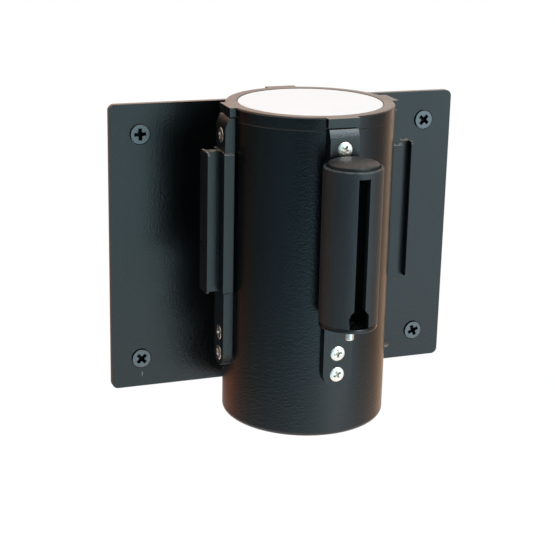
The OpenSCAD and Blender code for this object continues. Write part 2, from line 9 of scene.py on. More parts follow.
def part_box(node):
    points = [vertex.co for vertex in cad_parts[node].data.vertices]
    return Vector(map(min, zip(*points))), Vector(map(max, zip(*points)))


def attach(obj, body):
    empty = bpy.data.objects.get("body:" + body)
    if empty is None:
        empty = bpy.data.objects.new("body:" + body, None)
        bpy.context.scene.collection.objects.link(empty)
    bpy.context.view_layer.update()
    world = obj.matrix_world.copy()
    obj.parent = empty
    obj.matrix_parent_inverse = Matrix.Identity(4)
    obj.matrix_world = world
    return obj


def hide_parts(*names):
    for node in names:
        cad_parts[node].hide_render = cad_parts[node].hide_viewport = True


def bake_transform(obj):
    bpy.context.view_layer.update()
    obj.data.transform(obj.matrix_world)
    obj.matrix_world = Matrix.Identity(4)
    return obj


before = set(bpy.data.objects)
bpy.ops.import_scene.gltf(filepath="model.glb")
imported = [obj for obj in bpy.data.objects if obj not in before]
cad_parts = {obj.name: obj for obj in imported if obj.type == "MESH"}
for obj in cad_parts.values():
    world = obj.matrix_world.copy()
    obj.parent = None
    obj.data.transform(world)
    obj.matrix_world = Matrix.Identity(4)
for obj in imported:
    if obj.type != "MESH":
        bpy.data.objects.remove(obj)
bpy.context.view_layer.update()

bl_info = {
    "name": "Wall belt barrier",
    "version": (1, 0, 0),
    "blender": (4, 5, 0),
    "location": "3D View > Sidebar > Barrier",
    "description": "Dresses a wall-mounted retractable belt barrier unit, piece by piece",
    "category": "Object",
}

TUBE_LOW = Vector(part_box("housing_tube")[0])
DISC_LOW, DISC_HIGH = (Vector(corner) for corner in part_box("cap_disc"))
PLATE_LOW, PLATE_HIGH = (Vector(corner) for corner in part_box("wall_plate"))
# foot of the tube's axis; pieces are shaped about it and then moved to it
FOOT = Vector(((DISC_LOW.x + DISC_HIGH.x) / 2, (DISC_LOW.y + DISC_HIGH.y) / 2, TUBE_LOW.z))
FRONT, RIGHT, BACK, LEFT = 0, 90, 180, 270

# sizes that follow the CAD nodes and aren't meant to be changed here, in metres
SCREW_LEVELS = (0.0316, 0.0415, 0.1338)
SMALL_SHANK, SMALL_HOLE = 0.00175, 0.0019
WALL_SHANK, WALL_NECK, WALL_HOLE = 0.0024, 0.0025, 0.0026
SLIT_HALF, SLIT_LOW, SLIT_HIGH = 0.0015, 0.067, 0.121
SLOPE_DEPTH, SLOPE_HEIGHT = 0.0018, 0.0043
COVER_LOW, COVER_TOP, COVER_WALL_TOP, COVER_WALL = 0.0012, 0.0042, 0.0092, 0.002
COVER_SCREW_RING, COVER_RIDGES = 0.024, (0.0125, 0.0325)
CAVITY_RADIUS, CAVITY_TOP, CAVITY_FRONT = 0.0104, 0.126, 0.0092
CHANNEL_HALF, CHANNEL_BACK = 0.0059, 0.0049
RECESS_RADIUS, RECESS_LOW, DOME_RADIUS, DOME_EDGE = 0.0114, 0.127, 0.0109, 0.1303
PIN_RADIUS, PIN_TOP = 0.002, 0.1265
BELT_LINE, BELT_MOUTH = 0.00012, -0.0385
# a cutting block reaches this far out and up, past every shape it cuts
FAR, TALL = 0.03, 0.2
CREASE = math.radians(35)
DUST = (0.30, 0.29, 0.27, 1.0)


def length(name, value, text):
    return FloatProperty(name=name, default=value, description=text, subtype="DISTANCE", unit="LENGTH", precision=4)


def arc(name, degrees, text):
    return FloatProperty(name=name, default=math.radians(degrees), description=text, subtype="ANGLE", unit="ROTATION")


def tint(name, value, text):
    return FloatVectorProperty(name=name, default=value, description=text, subtype="COLOR", size=3, min=0, max=1)


# ---- sizes and colours ----


class HousingSizes(bpy.types.PropertyGroup):
    radius: length("Radius", 0.0381, "Outer radius of the round housing")
    height: length("Height", 0.1413, "Height of the tube below the cap ring")
    wall: length("Wall", 0.0025, "Wall thickness of the tube")
    seat: length("Seat", 0.0375, "Distance from the axis to the four flat seats")
    foot_round: length("Foot rounding", 0.0025, "Radius of the tube's lower outer edge")
    cap_height: length("Cap height", 0.0057, "Height of the cap ring above the tube")
    disc_radius: length("Disc radius", 0.0327, "Radius of the white disc")
    disc_thickness: length("Disc thickness", 0.0013, "Thickness of the white disc")
    tab_width: length("Tab width", 0.0144, "Width of each of the cap's four tabs")
    tab_reach: length("Tab reach", 0.0402, "Distance from the axis to a tab's outer face")


class PlateSizes(bpy.types.PropertyGroup):
    corner: length("Corner", 0.003, "Radius of the plate's corners")
    edge: length("Edge", 0.0004, "Rounding of the plate's edges")
    span_x: length("Screw span across", 0.1438, "Distance between the wall screws across")
    span_z: length("Screw span up", 0.11, "Distance between the wall screws up the plate")
    head: length("Head radius", 0.0045, "Radius of a wall screw's head")
    rise: length("Head rise", 0.0008, "How far the heads stand out from the plate's face")
    rim: length("Head rim", 0.0003, "Thickness of a head's rim")
    pitch: length("Thread pitch", 0.002, "Pitch of the wall screws' threads")


class BracketSizes(bpy.types.PropertyGroup):
    width: length("Width", 0.0134, "Width of a bracket")
    face: length("Face", 0.042, "Distance from the axis to a bracket's face")
    bottom: length("Bottom", 0.0257, "Height of a bracket's lowest point")
    top: length("Top", 0.1423, "Height of a bracket's top")
    pad_width: length("Pad width", 0.0164, "Width of the raised pad")
    pad_face: length("Pad face", 0.0428, "Distance from the axis to the pad's face")
    rail_bottom: length("Rail bottom", 0.062, "Height of the rail's and the pad's lower end")
    rail_top: length("Rail top", 0.127, "Height of the rail's and the pad's upper end")
    head_width: length("Rail head", 0.0112, "Width of the rail's head")
    head_thick: length("Rail head thickness", 0.001, "Thickness of the rail's head")
    neck_width: length("Rail neck", 0.0038, "Width of the rail's neck")
    neck_length: length("Rail neck length", 0.0058, "Distance from the pad's face to the rail's head")
    screw_head: length("Screw head", 0.0034, "Radius of the small screws' heads")


class BeltEndSizes(bpy.types.PropertyGroup):
    reach: length("Reach", 0.0517, "Distance from the housing's axis to the belt end's axis")
    radius: length("Radius", 0.0129, "Radius of the belt end")
    flat: length("Flat", 0.0086, "Distance from its axis to the flat back")
    bottom: length("Bottom", 0.0606, "Height of the belt end's lowest point")
    rim: length("Rim", 0.1291, "Height of the belt end's rim")
    slot: length("Slot", 0.0052, "Width of the slot for a rail's neck")
    mouth: length("Mouth", 0.0091, "Width of the slot's mouth")
    mouth_top: length("Mouth top", 0.0685, "Height at which the mouth has narrowed to the slot")
    ledge: length("Ledge", 0.0018, "Thickness of the ledge that the belt end is parked over")
    ledge_pin: length("Ledge pin", 0.0062, "Length of the pin below the ledge")
    pin_ahead: length("Pin ahead", 0.0023, "Distance of the ledge's pin in front of the belt end's axis")


class BeltSizes(bpy.types.PropertyGroup):
    width: length("Width", 0.05, "Width of the belt")
    thickness: length("Thickness", 0.0006, "Thickness of the belt")
    middle: length("Middle", 0.094, "Height of the belt's middle")
    inner: length("Inner turn", 0.0203, "Radius of the roll's innermost turn")
    outer: length("Outer turn", 0.0286, "Radius of the roll's outermost turn")
    turns: IntProperty(name="Turns", default=13, min=4, max=24, description="Number of turns that show on the roll")


class Finishes(bpy.types.PropertyGroup):
    plate: tint("Plate", (0.0007, 0.0011, 0.0012), "Colour of the powder-coated wall plate")
    housing: tint("Housing", (0.0005, 0.0007, 0.0008), "Colour of the coated tube")
    moulded: tint("Moulded black", (0.0010, 0.0014, 0.0016), "Colour of the moulded brackets and belt end")
    cap: tint("Cap", (0.0014, 0.0014, 0.0014), "Colour of the cap ring")
    disc: tint("Disc", (0.60, 0.665, 0.71), "Colour of the disc in the cap")
    bright: tint("Bright screws", (0.74, 0.67, 0.60), "Colour of the bright plated screws")
    zinc: tint("Zinc", (0.55, 0.56, 0.57), "Colour of the plated steel inside")
    webbing: tint("Webbing", (0.018, 0.018, 0.020), "Colour of the woven belt")


class StageSettings(bpy.types.PropertyGroup):
    azimuth: arc("Azimuth", 20.256, "How far the camera stands to the left of straight ahead")
    elevation: arc("Elevation", 17.108, "How far the camera looks down")
    roll: arc("Roll", 1.28, "Turn of the camera about its line of sight")
    distance: length("Distance", 0.65643, "Distance from the camera to the point it aims at")
    aim: FloatVectorProperty(name="Aim", default=(-0.0181, -0.0405, -0.00091), subtype="TRANSLATION", unit="LENGTH",
                             size=3, description="Point that the camera aims at")
    lens: FloatProperty(name="Focal length", default=92.515, description="Focal length of the camera in millimetres")
    floor_drop: length("Floor drop", 0.28, "Height of the unit's middle above the floor")
    floor_radius: length("Floor radius", 0.75, "Radius of the round floor")


# ---- shaping helpers, in metres about the foot of the tube's axis ----


def block(x, y, z):
    """A box between two limits on each axis."""
    bm = bmesh.new()
    bmesh.ops.create_cube(bm, size=1)
    size = Vector((x[1] - x[0], y[1] - y[0], z[1] - z[0]))
    middle = Vector((x[0] + x[1], y[0] + y[1], z[0] + z[1])) / 2
    bmesh.ops.scale(bm, vec=size, verts=bm.verts)
    bmesh.ops.translate(bm, vec=middle, verts=bm.verts)
    return bm


def rod(radius, low, high, top=None, segments=64, at=(0, 0)):
    """An upright cylinder or cone."""
    bm = bmesh.new()
    bmesh.ops.create_cone(bm, cap_ends=True, segments=segments, radius1=radius,
                          radius2=radius if top is None else top, depth=high - low)
    bmesh.ops.translate(bm, vec=(at[0], at[1], (low + high) / 2), verts=bm.verts)
    return bm


def tilted(bm, degrees, axis="X"):
    bmesh.ops.rotate(bm, matrix=Matrix.Rotation(math.radians(degrees), 3, axis), verts=bm.verts)
    return bm


def outline(points, rounds=(), segments=6):
    """A flat face through the points, with the corners named in rounds as {corner: radius} rounded."""
    bm = bmesh.new()
    verts = [bm.verts.new((p[0], p[1], 0)) for p in points]
    bm.faces.new(verts)
    for radius in sorted(set(dict(rounds).values())):
        chosen = [verts[i] for i, r in dict(rounds).items() if r == radius]
        bmesh.ops.bevel(bm, geom=chosen, offset=radius, offset_type="OFFSET", segments=segments,
                        profile=0.5, affect="VERTICES", material=-1)
    return bm


def raised(bm, low, high):
    """Extrudes a flat face at z = 0 into a solid between two heights."""
    bmesh.ops.translate(bm, vec=(0, 0, low), verts=bm.verts)
    grown = bmesh.ops.extrude_face_region(bm, geom=bm.faces[:])["geom"]
    bmesh.ops.translate(bm, vec=(0, 0, high - low), verts=[g for g in grown if isinstance(g, bmesh.types.BMVert)])
    bmesh.ops.recalc_face_normals(bm, faces=bm.faces)
    return bm


def turned(points, segments=128, rounds=(), corner=4):
    """A solid of revolution from a closed outline of (radius, height) points."""
    bm = outline(points, rounds, corner)
    bmesh.ops.delete(bm, geom=bm.faces[:], context="FACES_ONLY")
    tilted(bm, 90)
    bmesh.ops.spin(bm, geom=bm.verts[:] + bm.edges[:], cent=(0, 0, 0), axis=(0, 0, 1), dvec=(0, 0, 0),
                   angle=math.tau, steps=segments, use_merge=True, use_duplicate=False)
    bmesh.ops.remove_doubles(bm, verts=bm.verts, dist=1e-6)
    bmesh.ops.dissolve_degenerate(bm, dist=1e-7, edges=bm.edges)
    bmesh.ops.recalc_face_normals(bm, faces=bm.faces)
    return bm


def panel(half, low, high, rounds=(), segments=6):
    """A flat rectangle about the middle; its corners count round from the lower left one."""
    return outline([(-half, low), (half, low), (half, high), (-half, high)], rounds, segments)


def turned_rod(radius, low, high, segments, rounds=(), corner=4, inner=0.0):
    """A turned rod, or a ring where it has an inner radius."""
    return turned([(inner, low), (radius, low), (radius, high), (inner, high)], segments, rounds, corner)


def behind(depth):
    """A block that takes away everything behind one depth."""
    return block((-FAR, FAR), (depth, FAR), (0, TALL))


def belt_slit():
    """The block that cuts the belt's slit through the tube and the front bracket."""
    return block((-SLIT_HALF, SLIT_HALF), (-0.05, -0.03), (SLIT_LOW, SLIT_HIGH))


def facing_out(bm, reach=0.0, height=0.0, turn=0):
    """Turns a shape that points up so that it points outwards from one side of the tube."""
    tilted(bm, 90)
    bmesh.ops.translate(bm, vec=(0, -reach, height), verts=bm.verts)
    return on_side(bm, turn)


def on_side(bm, turn):
    return tilted(bm, turn, "Z")


def moved(bm, x=0.0, y=0.0, z=0.0):
    bmesh.ops.translate(bm, vec=(x, y, z), verts=bm.verts)
    return bm


def joined(*parts):
    """Gathers several meshes into the first one."""
    whole = parts[0]
    for part in parts[1:]:
        carrier = bpy.data.meshes.new("carrier")
        part.to_mesh(carrier)
        part.free()
        whole.from_mesh(carrier)
        bpy.data.meshes.remove(carrier)
    return whole


def carved(bm, *tools, how="DIFFERENCE"):
    """The solid bm with each tool solid taken away from it, or joined to it."""
    holders = []
    for shape in (bm, *tools):
        mesh = bpy.data.meshes.new("carving")
        shape.to_mesh(mesh)
        shape.free()
        holder = bpy.data.objects.new("carving", mesh)
        bpy.context.scene.collection.objects.link(holder)
        holders.append(holder)
    for tool in holders[1:]:
        step = holders[0].modifiers.new("carve", "BOOLEAN")
        step.object = tool
        step.operation = how
        step.solver = "EXACT"
    graph = bpy.context.evaluated_depsgraph_get()
    result = bpy.data.meshes.new_from_object(holders[0].evaluated_get(graph))
    out = bmesh.new()
    out.from_mesh(result)
    bpy.data.meshes.remove(result)
    for holder in holders:
        bpy.data.meshes.remove(holder.data)
    bmesh.ops.remove_doubles(out, verts=out.verts, dist=2e-6)
    return out


def softened(bm, width=0.0003, segments=3, angle=32, keep=None):
    """Rounds the sharp edges and marks the rounded faces, which the black finishes lighten partly as wear and partly as
    a painted highlight.
    """
    edge_mark = bm.loops.layers.float.get("edge_mark") or bm.loops.layers.float.new("edge_mark")
    sharp = [e for e in bm.edges if len(e.link_faces) == 2 and e.calc_face_angle(0) > math.radians(angle)
             and (keep is None or keep(e))]
    if sharp:
        made = bmesh.ops.bevel(bm, geom=sharp, offset=width, offset_type="OFFSET", segments=segments,
                               profile=0.5, affect="EDGES", clamp_overlap=True, material=-1)
        for face in made["faces"]:
            for corner in face.loops:
                corner[edge_mark] = 1.0
    return bm


def finished(name, bm, paint, stands_for, body="housing", weighted=True):
    """Makes the piece's object at the tube's foot, gives it its finish and puts it on its body."""
    mesh = bpy.data.meshes.new(name)
    bmesh.ops.translate(bm, vec=FOOT, verts=bm.verts)
    bm.normal_update()
    for edge in bm.edges:
        edge.smooth = len(edge.link_faces) != 2 or edge.calc_face_angle(0) < CREASE
    for face in bm.faces:
        face.smooth = True
    bm.to_mesh(mesh)
    bm.free()
    piece = bpy.data.objects.new(name, mesh)
    bpy.context.scene.collection.objects.link(piece)
    mesh.materials.append(finish(paint))
    if weighted:
        even = piece.modifiers.new("even shading", "WEIGHTED_NORMAL")
        even.keep_sharp = True
        even.weight = 80
    if body:
        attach(piece, body)
    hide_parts(*stands_for)
    return piece


def cross_tools(radius, depth, turn=0.0, arm=0.24):
    """Two tapered bars that cut a cross recess down from z = 0."""
    tools = []
    for quarter in (0, 90):
        bar = block((-radius, radius), (-arm * radius, arm * radius), (-depth, depth * 0.3))
        low = [v for v in bar.verts if v.co.z < 0]
        bmesh.ops.scale(bar, vec=(0.45, 0.8, 1), verts=low)
        tools.append(on_side(bar, quarter + turn))
    heart = rod(0.16 * radius, -depth * 1.1, 0, top=0.42 * radius, segments=16)
    return tools + [heart]


def shaded(bm, wide, deep):
    """Marks the faces of a recess of that width and depth, so that the finish paints shade into them."""
    painted_recess_shade = bm.loops.layers.float.get("painted_recess_shade") or bm.loops.layers.float.new("painted_recess_shade")
    for face in bm.faces:
        middle = face.calc_center_median()
        if -deep < middle.z < -0.0001 and middle.xy.length < wide + 0.8 * middle.z:
            for corner in face.loops:
                corner[painted_recess_shade] = 1.0
    return bm


def screw(head, total, dome, turn, sink=None):
    """A small countersunk screw with a slightly domed head and a cross recess, its rim at z = 0."""
    shank = SMALL_SHANK
    recess = 0.62 * head
    sink = head - shank if sink is None else sink
    body = turned([(0, -total), (shank * 0.7, -total), (shank, -total + shank * 0.4), (shank, -sink),
                   (head * 0.985, -0.00018), (head, -0.00004), (head * 0.97, dome * 0.14), (head * 0.85, dome * 0.42),
                   (head * 0.62, dome * 0.72), (head * 0.33, dome * 0.93), (0, dome)], segments=48)
    tools = cross_tools(recess, recess * 0.78, turn)
    for tool in tools:
        moved(tool, z=dome * 0.6)
    return softened(carved(body, *tools), 0.00009, 2, 40)


def strap(path, low, width, thickness, across=6, steps=None):
    """A woven strip of one thickness that stands on edge along a path in plan."""
    spans = [(Vector(b) - Vector(a)).length for a, b in zip(path, path[1:])]
    total = sum(spans)
    count = steps or len(path) - 1
    bm = bmesh.new()
    bmesh.ops.create_grid(bm, x_segments=count, y_segments=across, size=0.5, calc_uvs=True)
    uv = bm.loops.layers.uv.verify()
    for face in bm.faces:
        for corner in face.loops:
            corner[uv].uv = ((corner.vert.co.x + 0.5) * total, (corner.vert.co.y + 0.5) * width)
    for vert in bm.verts:
        along, across_at = (vert.co.x + 0.5) * total, (vert.co.y + 0.5) * width
        left, k = along, 0
        while k < len(spans) - 1 and left > spans[k]:
            left -= spans[k]
            k += 1
        here = Vector(path[k]).lerp(Vector(path[k + 1]), min(left / spans[k], 1.0))
        vert.co = Vector((here.x, here.y, low + across_at))
    bmesh.ops.recalc_face_normals(bm, faces=bm.faces)
    bmesh.ops.solidify(bm, geom=bm.faces[:], thickness=thickness)
    bmesh.ops.recalc_face_normals(bm, faces=bm.faces)
    return bm


# ---- finishes ----


def node(tree, kind, values=None, **settings):
    """Adds a node; values are put on its inputs, as links where they are sockets."""
    made = tree.nodes.new(kind)
    for key, value in settings.items():
        setattr(made, key, value)
    for key, value in (values or {}).items():
        socket = made.inputs[key]
        if isinstance(value, bpy.types.NodeSocket):
            tree.links.new(value, socket)
        else:
            socket.default_value = value
    return made


def maths(tree, operation, a, b=0.5, c=0.5):
    return node(tree, "ShaderNodeMath", {0: a, 1: b, 2: c}, operation=operation).outputs[0]


def between(tree, value, low, high, to_low=0.0, to_high=1.0):
    return node(tree, "ShaderNodeMapRange", {0: value, 1: low, 2: high, 3: to_low, 4: to_high}).outputs[0]


def mixed(tree, share, a, b):
    return node(tree, "ShaderNodeMix", {0: share, 6: a, 7: b}, data_type="RGBA").outputs[2]


def new_group(name, inputs, outputs):
    """A shader node group with the inputs {name: value} and the named outputs."""
    tree = bpy.data.node_groups.new(name, "ShaderNodeTree")
    for label, value in inputs.items():
        socket = tree.interface.new_socket(name=label, in_out="INPUT", socket_type="NodeSocketFloat")
        socket.default_value = value
    for label in outputs:
        tree.interface.new_socket(name=label, in_out="OUTPUT", socket_type="NodeSocketFloat")
    return tree, tree.nodes.new("NodeGroupInput"), tree.nodes.new("NodeGroupOutput")


def on_object(tree):
    return node(tree, "ShaderNodeTexCoord").outputs["Object"]


def noise(tree, place, scale, detail=2.0, softness=0.5):
    values = {"Vector": place, "Scale": scale, "Detail": detail, "Roughness": softness}
    return node(tree, "ShaderNodeTexNoise", values).outputs["Fac"]


def stretched(tree, place, scale):
    """The place with a scale of its own along Z, so that a noise on it runs in upright streaks."""
    return node(tree, "ShaderNodeMapping", {"Vector": place, "Scale": (1.0, 1.0, scale)}).outputs[0]


def build_groups():
    """Grain, handling marks, the mask of marked edges, dust, rolling lines and weave, each built once."""
    groups = {}

    tree, given, out = new_group("fine_grain", {"Grains per metre": 2600.0, "Softness": 0.5}, ("Height", "Fleck"))
    place = on_object(tree)
    grain = noise(tree, place, given.outputs[0], 3.0, given.outputs[1])
    pitch = maths(tree, "MULTIPLY", given.outputs[0], 0.55)
    cells = node(tree, "ShaderNodeTexVoronoi", {"Vector": place, "Scale": pitch}).outputs["Distance"]
    tree.links.new(maths(tree, "MULTIPLY_ADD", cells, 0.45, grain), out.inputs[0])
    tree.links.new(between(tree, grain, 0.6, 0.78), out.inputs[1])
    groups["grain"] = tree

    tree, given, out = new_group("handling_marks", {"Low": 0.35, "High": 0.5, "Patches per metre": 28.0},
                                 ("Roughness", "Shade"))
    place = on_object(tree)
    patches = noise(tree, place, given.outputs[2], 4.0, 0.55)
    streaks = noise(tree, stretched(tree, place, 0.12), maths(tree, "MULTIPLY", given.outputs[2], 14.0))
    both = maths(tree, "MULTIPLY_ADD", streaks, 0.3, maths(tree, "MULTIPLY", patches, 0.7))
    clear = between(tree, both, 0.35, 0.65)
    tree.links.new(between(tree, clear, 0.0, 1.0, given.outputs[0], given.outputs[1]), out.inputs[0])
    tree.links.new(clear, out.inputs[1])
    groups["marks"] = tree

    # the marked rounded edges, made patchy; the black finishes lighten them partly as wear and partly as a painted
    # highlight along the bevels
    tree, given, out = new_group("marked_edges", {"Amount": 0.4}, ("Mask",))
    edge_mark = node(tree, "ShaderNodeAttribute", attribute_name="edge_mark").outputs["Fac"]
    patchy = between(tree, noise(tree, on_object(tree), 420.0, 3.0), 0.35, 0.7)
    tree.links.new(maths(tree, "MULTIPLY", maths(tree, "MULTIPLY", edge_mark, patchy), given.outputs[0]), out.inputs[0])
    groups["edge_mark"] = tree

    tree, given, out = new_group("settled_dust", {"Amount": 0.1}, ("Mask",))
    up = node(tree, "ShaderNodeSeparateXYZ", {0: node(tree, "ShaderNodeNewGeometry").outputs["Normal"]}).outputs["Z"]
    flecks = between(tree, noise(tree, on_object(tree), 900.0, 4.0), 0.45, 0.75)
    facing = between(tree, up, 0.55, 0.95)
    tree.links.new(maths(tree, "MULTIPLY", maths(tree, "MULTIPLY", facing, flecks), given.outputs[0]), out.inputs[0])
    groups["dust"] = tree

    tree, given, out = new_group("rolled_metal", {"Lines per metre": 900.0}, ("Height", "Shade"))
    place = on_object(tree)
    lines = noise(tree, stretched(tree, place, 0.06), given.outputs[0], 3.0, 0.6)
    bloom = noise(tree, place, 160.0, 4.0)
    tree.links.new(lines, out.inputs[0])
    tree.links.new(maths(tree, "MULTIPLY_ADD", bloom, 0.6, maths(tree, "MULTIPLY", lines, 0.4)), out.inputs[1])
    groups["rolled"] = tree

    tree, given, out = new_group("weave", {"Along": 0.0, "Across": 0.0, "Yarn": 0.0011}, ("Height", "Shade"))
    along = maths(tree, "DIVIDE", given.outputs[0], given.outputs[2])
    across = maths(tree, "DIVIDE", given.outputs[1], given.outputs[2])
    rib = maths(tree, "ABSOLUTE", maths(tree, "SINE", maths(tree, "MULTIPLY", across, math.pi)))
    step = maths(tree, "MULTIPLY", maths(tree, "FLOOR", across), 0.5)
    wave = maths(tree, "MULTIPLY", maths(tree, "ADD", along, step), math.pi)
    pick = maths(tree, "ABSOLUTE", maths(tree, "SINE", wave))
    yarn = maths(tree, "MULTIPLY", rib, maths(tree, "MULTIPLY_ADD", pick, 0.75, 0.25))
    height = maths(tree, "POWER", yarn, 0.6)
    tree.links.new(height, out.inputs[0])
    tree.links.new(between(tree, height, 0.2, 0.9, 0.35, 1.0), out.inputs[1])
    groups["weave"] = tree
    return groups


def placed(tree, group, **values):
    """Puts a group in a tree; its inputs are named with underscores for spaces."""
    inputs = {key.replace("_", " "): value for key, value in values.items()}
    return node(tree, "ShaderNodeGroup", inputs, node_tree=group)


def new_finish(name):
    made = bpy.data.materials.new(name)
    made.use_nodes = True
    return made, made.node_tree, made.node_tree.nodes["Principled BSDF"]


def shade_of(colour, factor):
    return (*(min(1.0, channel * factor) for channel in colour), 1.0)


def with_bump(tree, shader, height, strength, distance):
    lift = node(tree, "ShaderNodeBump", {"Height": height, "Strength": strength, "Distance": distance})
    tree.links.new(lift.outputs[0], shader.inputs["Normal"])


def black_finish(name, groups, colour, rough, grain, bump, edge_mark=0.35, dust=0.06, patches=28.0, wear_and_highlight_tone=9.0, chip=None):
    """A black coating or moulding: grain, handling marks, edges lightened partly as wear and partly as a painted
    highlight, a little dust and perhaps one chip.
    """
    made, tree, shader = new_finish(name)
    grained = placed(tree, groups["grain"], Grains_per_metre=grain)
    marks = placed(tree, groups["marks"], Low=rough[0], High=rough[1], Patches_per_metre=patches)
    edge_share = placed(tree, groups["edge_mark"], Amount=edge_mark).outputs[0]
    dusty = placed(tree, groups["dust"], Amount=dust).outputs[0]
    base = mixed(tree, marks.outputs["Shade"], shade_of(colour, 0.86), shade_of(colour, 1.14))
    flecked = mixed(tree, maths(tree, "MULTIPLY", grained.outputs["Fleck"], 0.35), base, shade_of(colour, 2.2))
    # painted highlight: the marked edges are lightened many times over, partly as wear and partly standing in for light
    # caught by the bevels
    worn_and_highlit = mixed(tree, edge_share, flecked, shade_of(colour, wear_and_highlight_tone))
    settled = mixed(tree, dusty, worn_and_highlit, DUST)
    if chip:
        place = on_object(tree)
        spot = node(tree, "ShaderNodeMapping", {"Vector": place, "Location": chip["at"], "Scale": chip["size"]},
                    vector_type="TEXTURE").outputs[0]
        away = node(tree, "ShaderNodeVectorMath", {0: spot}, operation="LENGTH").outputs["Value"]
        ragged = maths(tree, "MULTIPLY_ADD", noise(tree, place, 2400.0), 0.8, away)
        settled = mixed(tree, between(tree, ragged, 0.95, 1.25, 1.0, 0.0), settled, (0.16, 0.15, 0.14, 1.0))
    tree.links.new(settled, shader.inputs["Base Color"])
    roughness = maths(tree, "ADD", marks.outputs["Roughness"], maths(tree, "MULTIPLY", dusty, 0.5))
    tree.links.new(roughness, shader.inputs["Roughness"])
    with_bump(tree, shader, grained.outputs["Height"], bump, 0.0001)
    return made


def metal_finish(name, groups, colour, rough, lines, bump=0.25, tone=0.8):
    """Plated or bare metal with rolling lines, a faint bloom and painted shade in marked recesses."""
    made, tree, shader = new_finish(name)
    rolled = placed(tree, groups["rolled"], Lines_per_metre=lines)
    base = mixed(tree, rolled.outputs["Shade"], shade_of(colour, tone), shade_of(colour, 1.0 / tone))
    painted_recess_shade = node(tree, "ShaderNodeAttribute", attribute_name="painted_recess_shade").outputs["Fac"]
    # painted shade: the marked recess faces go almost black
    tree.links.new(mixed(tree, painted_recess_shade, base, shade_of(colour, 0.04)), shader.inputs["Base Color"])
    tree.links.new(between(tree, rolled.outputs["Shade"], 0.3, 0.7, rough[0], rough[1]), shader.inputs["Roughness"])
    shader.inputs["Metallic"].default_value = 1.0
    with_bump(tree, shader, rolled.outputs["Height"], bump, 0.00003)
    return made


def disc_finish(name, groups, colour):
    """Smooth white plastic with faint smudges and a slightly warm rim."""
    made, tree, shader = new_finish(name)
    marks = placed(tree, groups["marks"], Low=0.12, High=0.22, Patches_per_metre=40.0)
    edge_share = placed(tree, groups["edge_mark"], Amount=0.5).outputs[0]
    base = mixed(tree, marks.outputs["Shade"], shade_of(colour, 1.0), shade_of(colour, 0.97))
    tree.links.new(mixed(tree, edge_share, base, (0.62, 0.60, 0.57, 1.0)), shader.inputs["Base Color"])
    tree.links.new(marks.outputs["Roughness"], shader.inputs["Roughness"])
    shader.inputs["Specular IOR Level"].default_value = 0.15
    return made


def webbing_finish(name, groups, colour, on_surface):
    """Woven polyester; on_surface follows the strip's own UV map, otherwise its plane."""
    made, tree, shader = new_finish(name)
    place = node(tree, "ShaderNodeTexCoord").outputs["UV"] if on_surface else on_object(tree)
    split = node(tree, "ShaderNodeSeparateXYZ", {0: place})
    along, across = (split.outputs[axis] for axis in (("X", "Y") if on_surface else ("Y", "Z")))
    woven = placed(tree, groups["weave"], Along=along, Across=across, Yarn=0.0011)
    fuzz = noise(tree, on_object(tree), 3500.0, 3.0)
    base = mixed(tree, woven.outputs["Shade"], shade_of(colour, 0.35), shade_of(colour, 1.5))
    fuzzy = mixed(tree, between(tree, fuzz, 0.55, 0.8, 0.0, 0.4), base, shade_of(colour, 3.0))
    tree.links.new(fuzzy, shader.inputs["Base Color"])
    tree.links.new(between(tree, woven.outputs["Shade"], 0.3, 1.0, 0.85, 0.55), shader.inputs["Roughness"])
    shader.inputs["Sheen Weight"].default_value = 0.25
    shader.inputs["Sheen Roughness"].default_value = 0.4
    with_bump(tree, shader, maths(tree, "MULTIPLY_ADD", fuzz, 0.15, woven.outputs["Height"]), 0.7, 0.00025)
    return made


def finish(name):
    found = bpy.data.materials.get(name)
    if found is None:
        raise RuntimeError(f"the finish {name} hasn't been made; run the finishes first")
    return found


# ---- operators ----


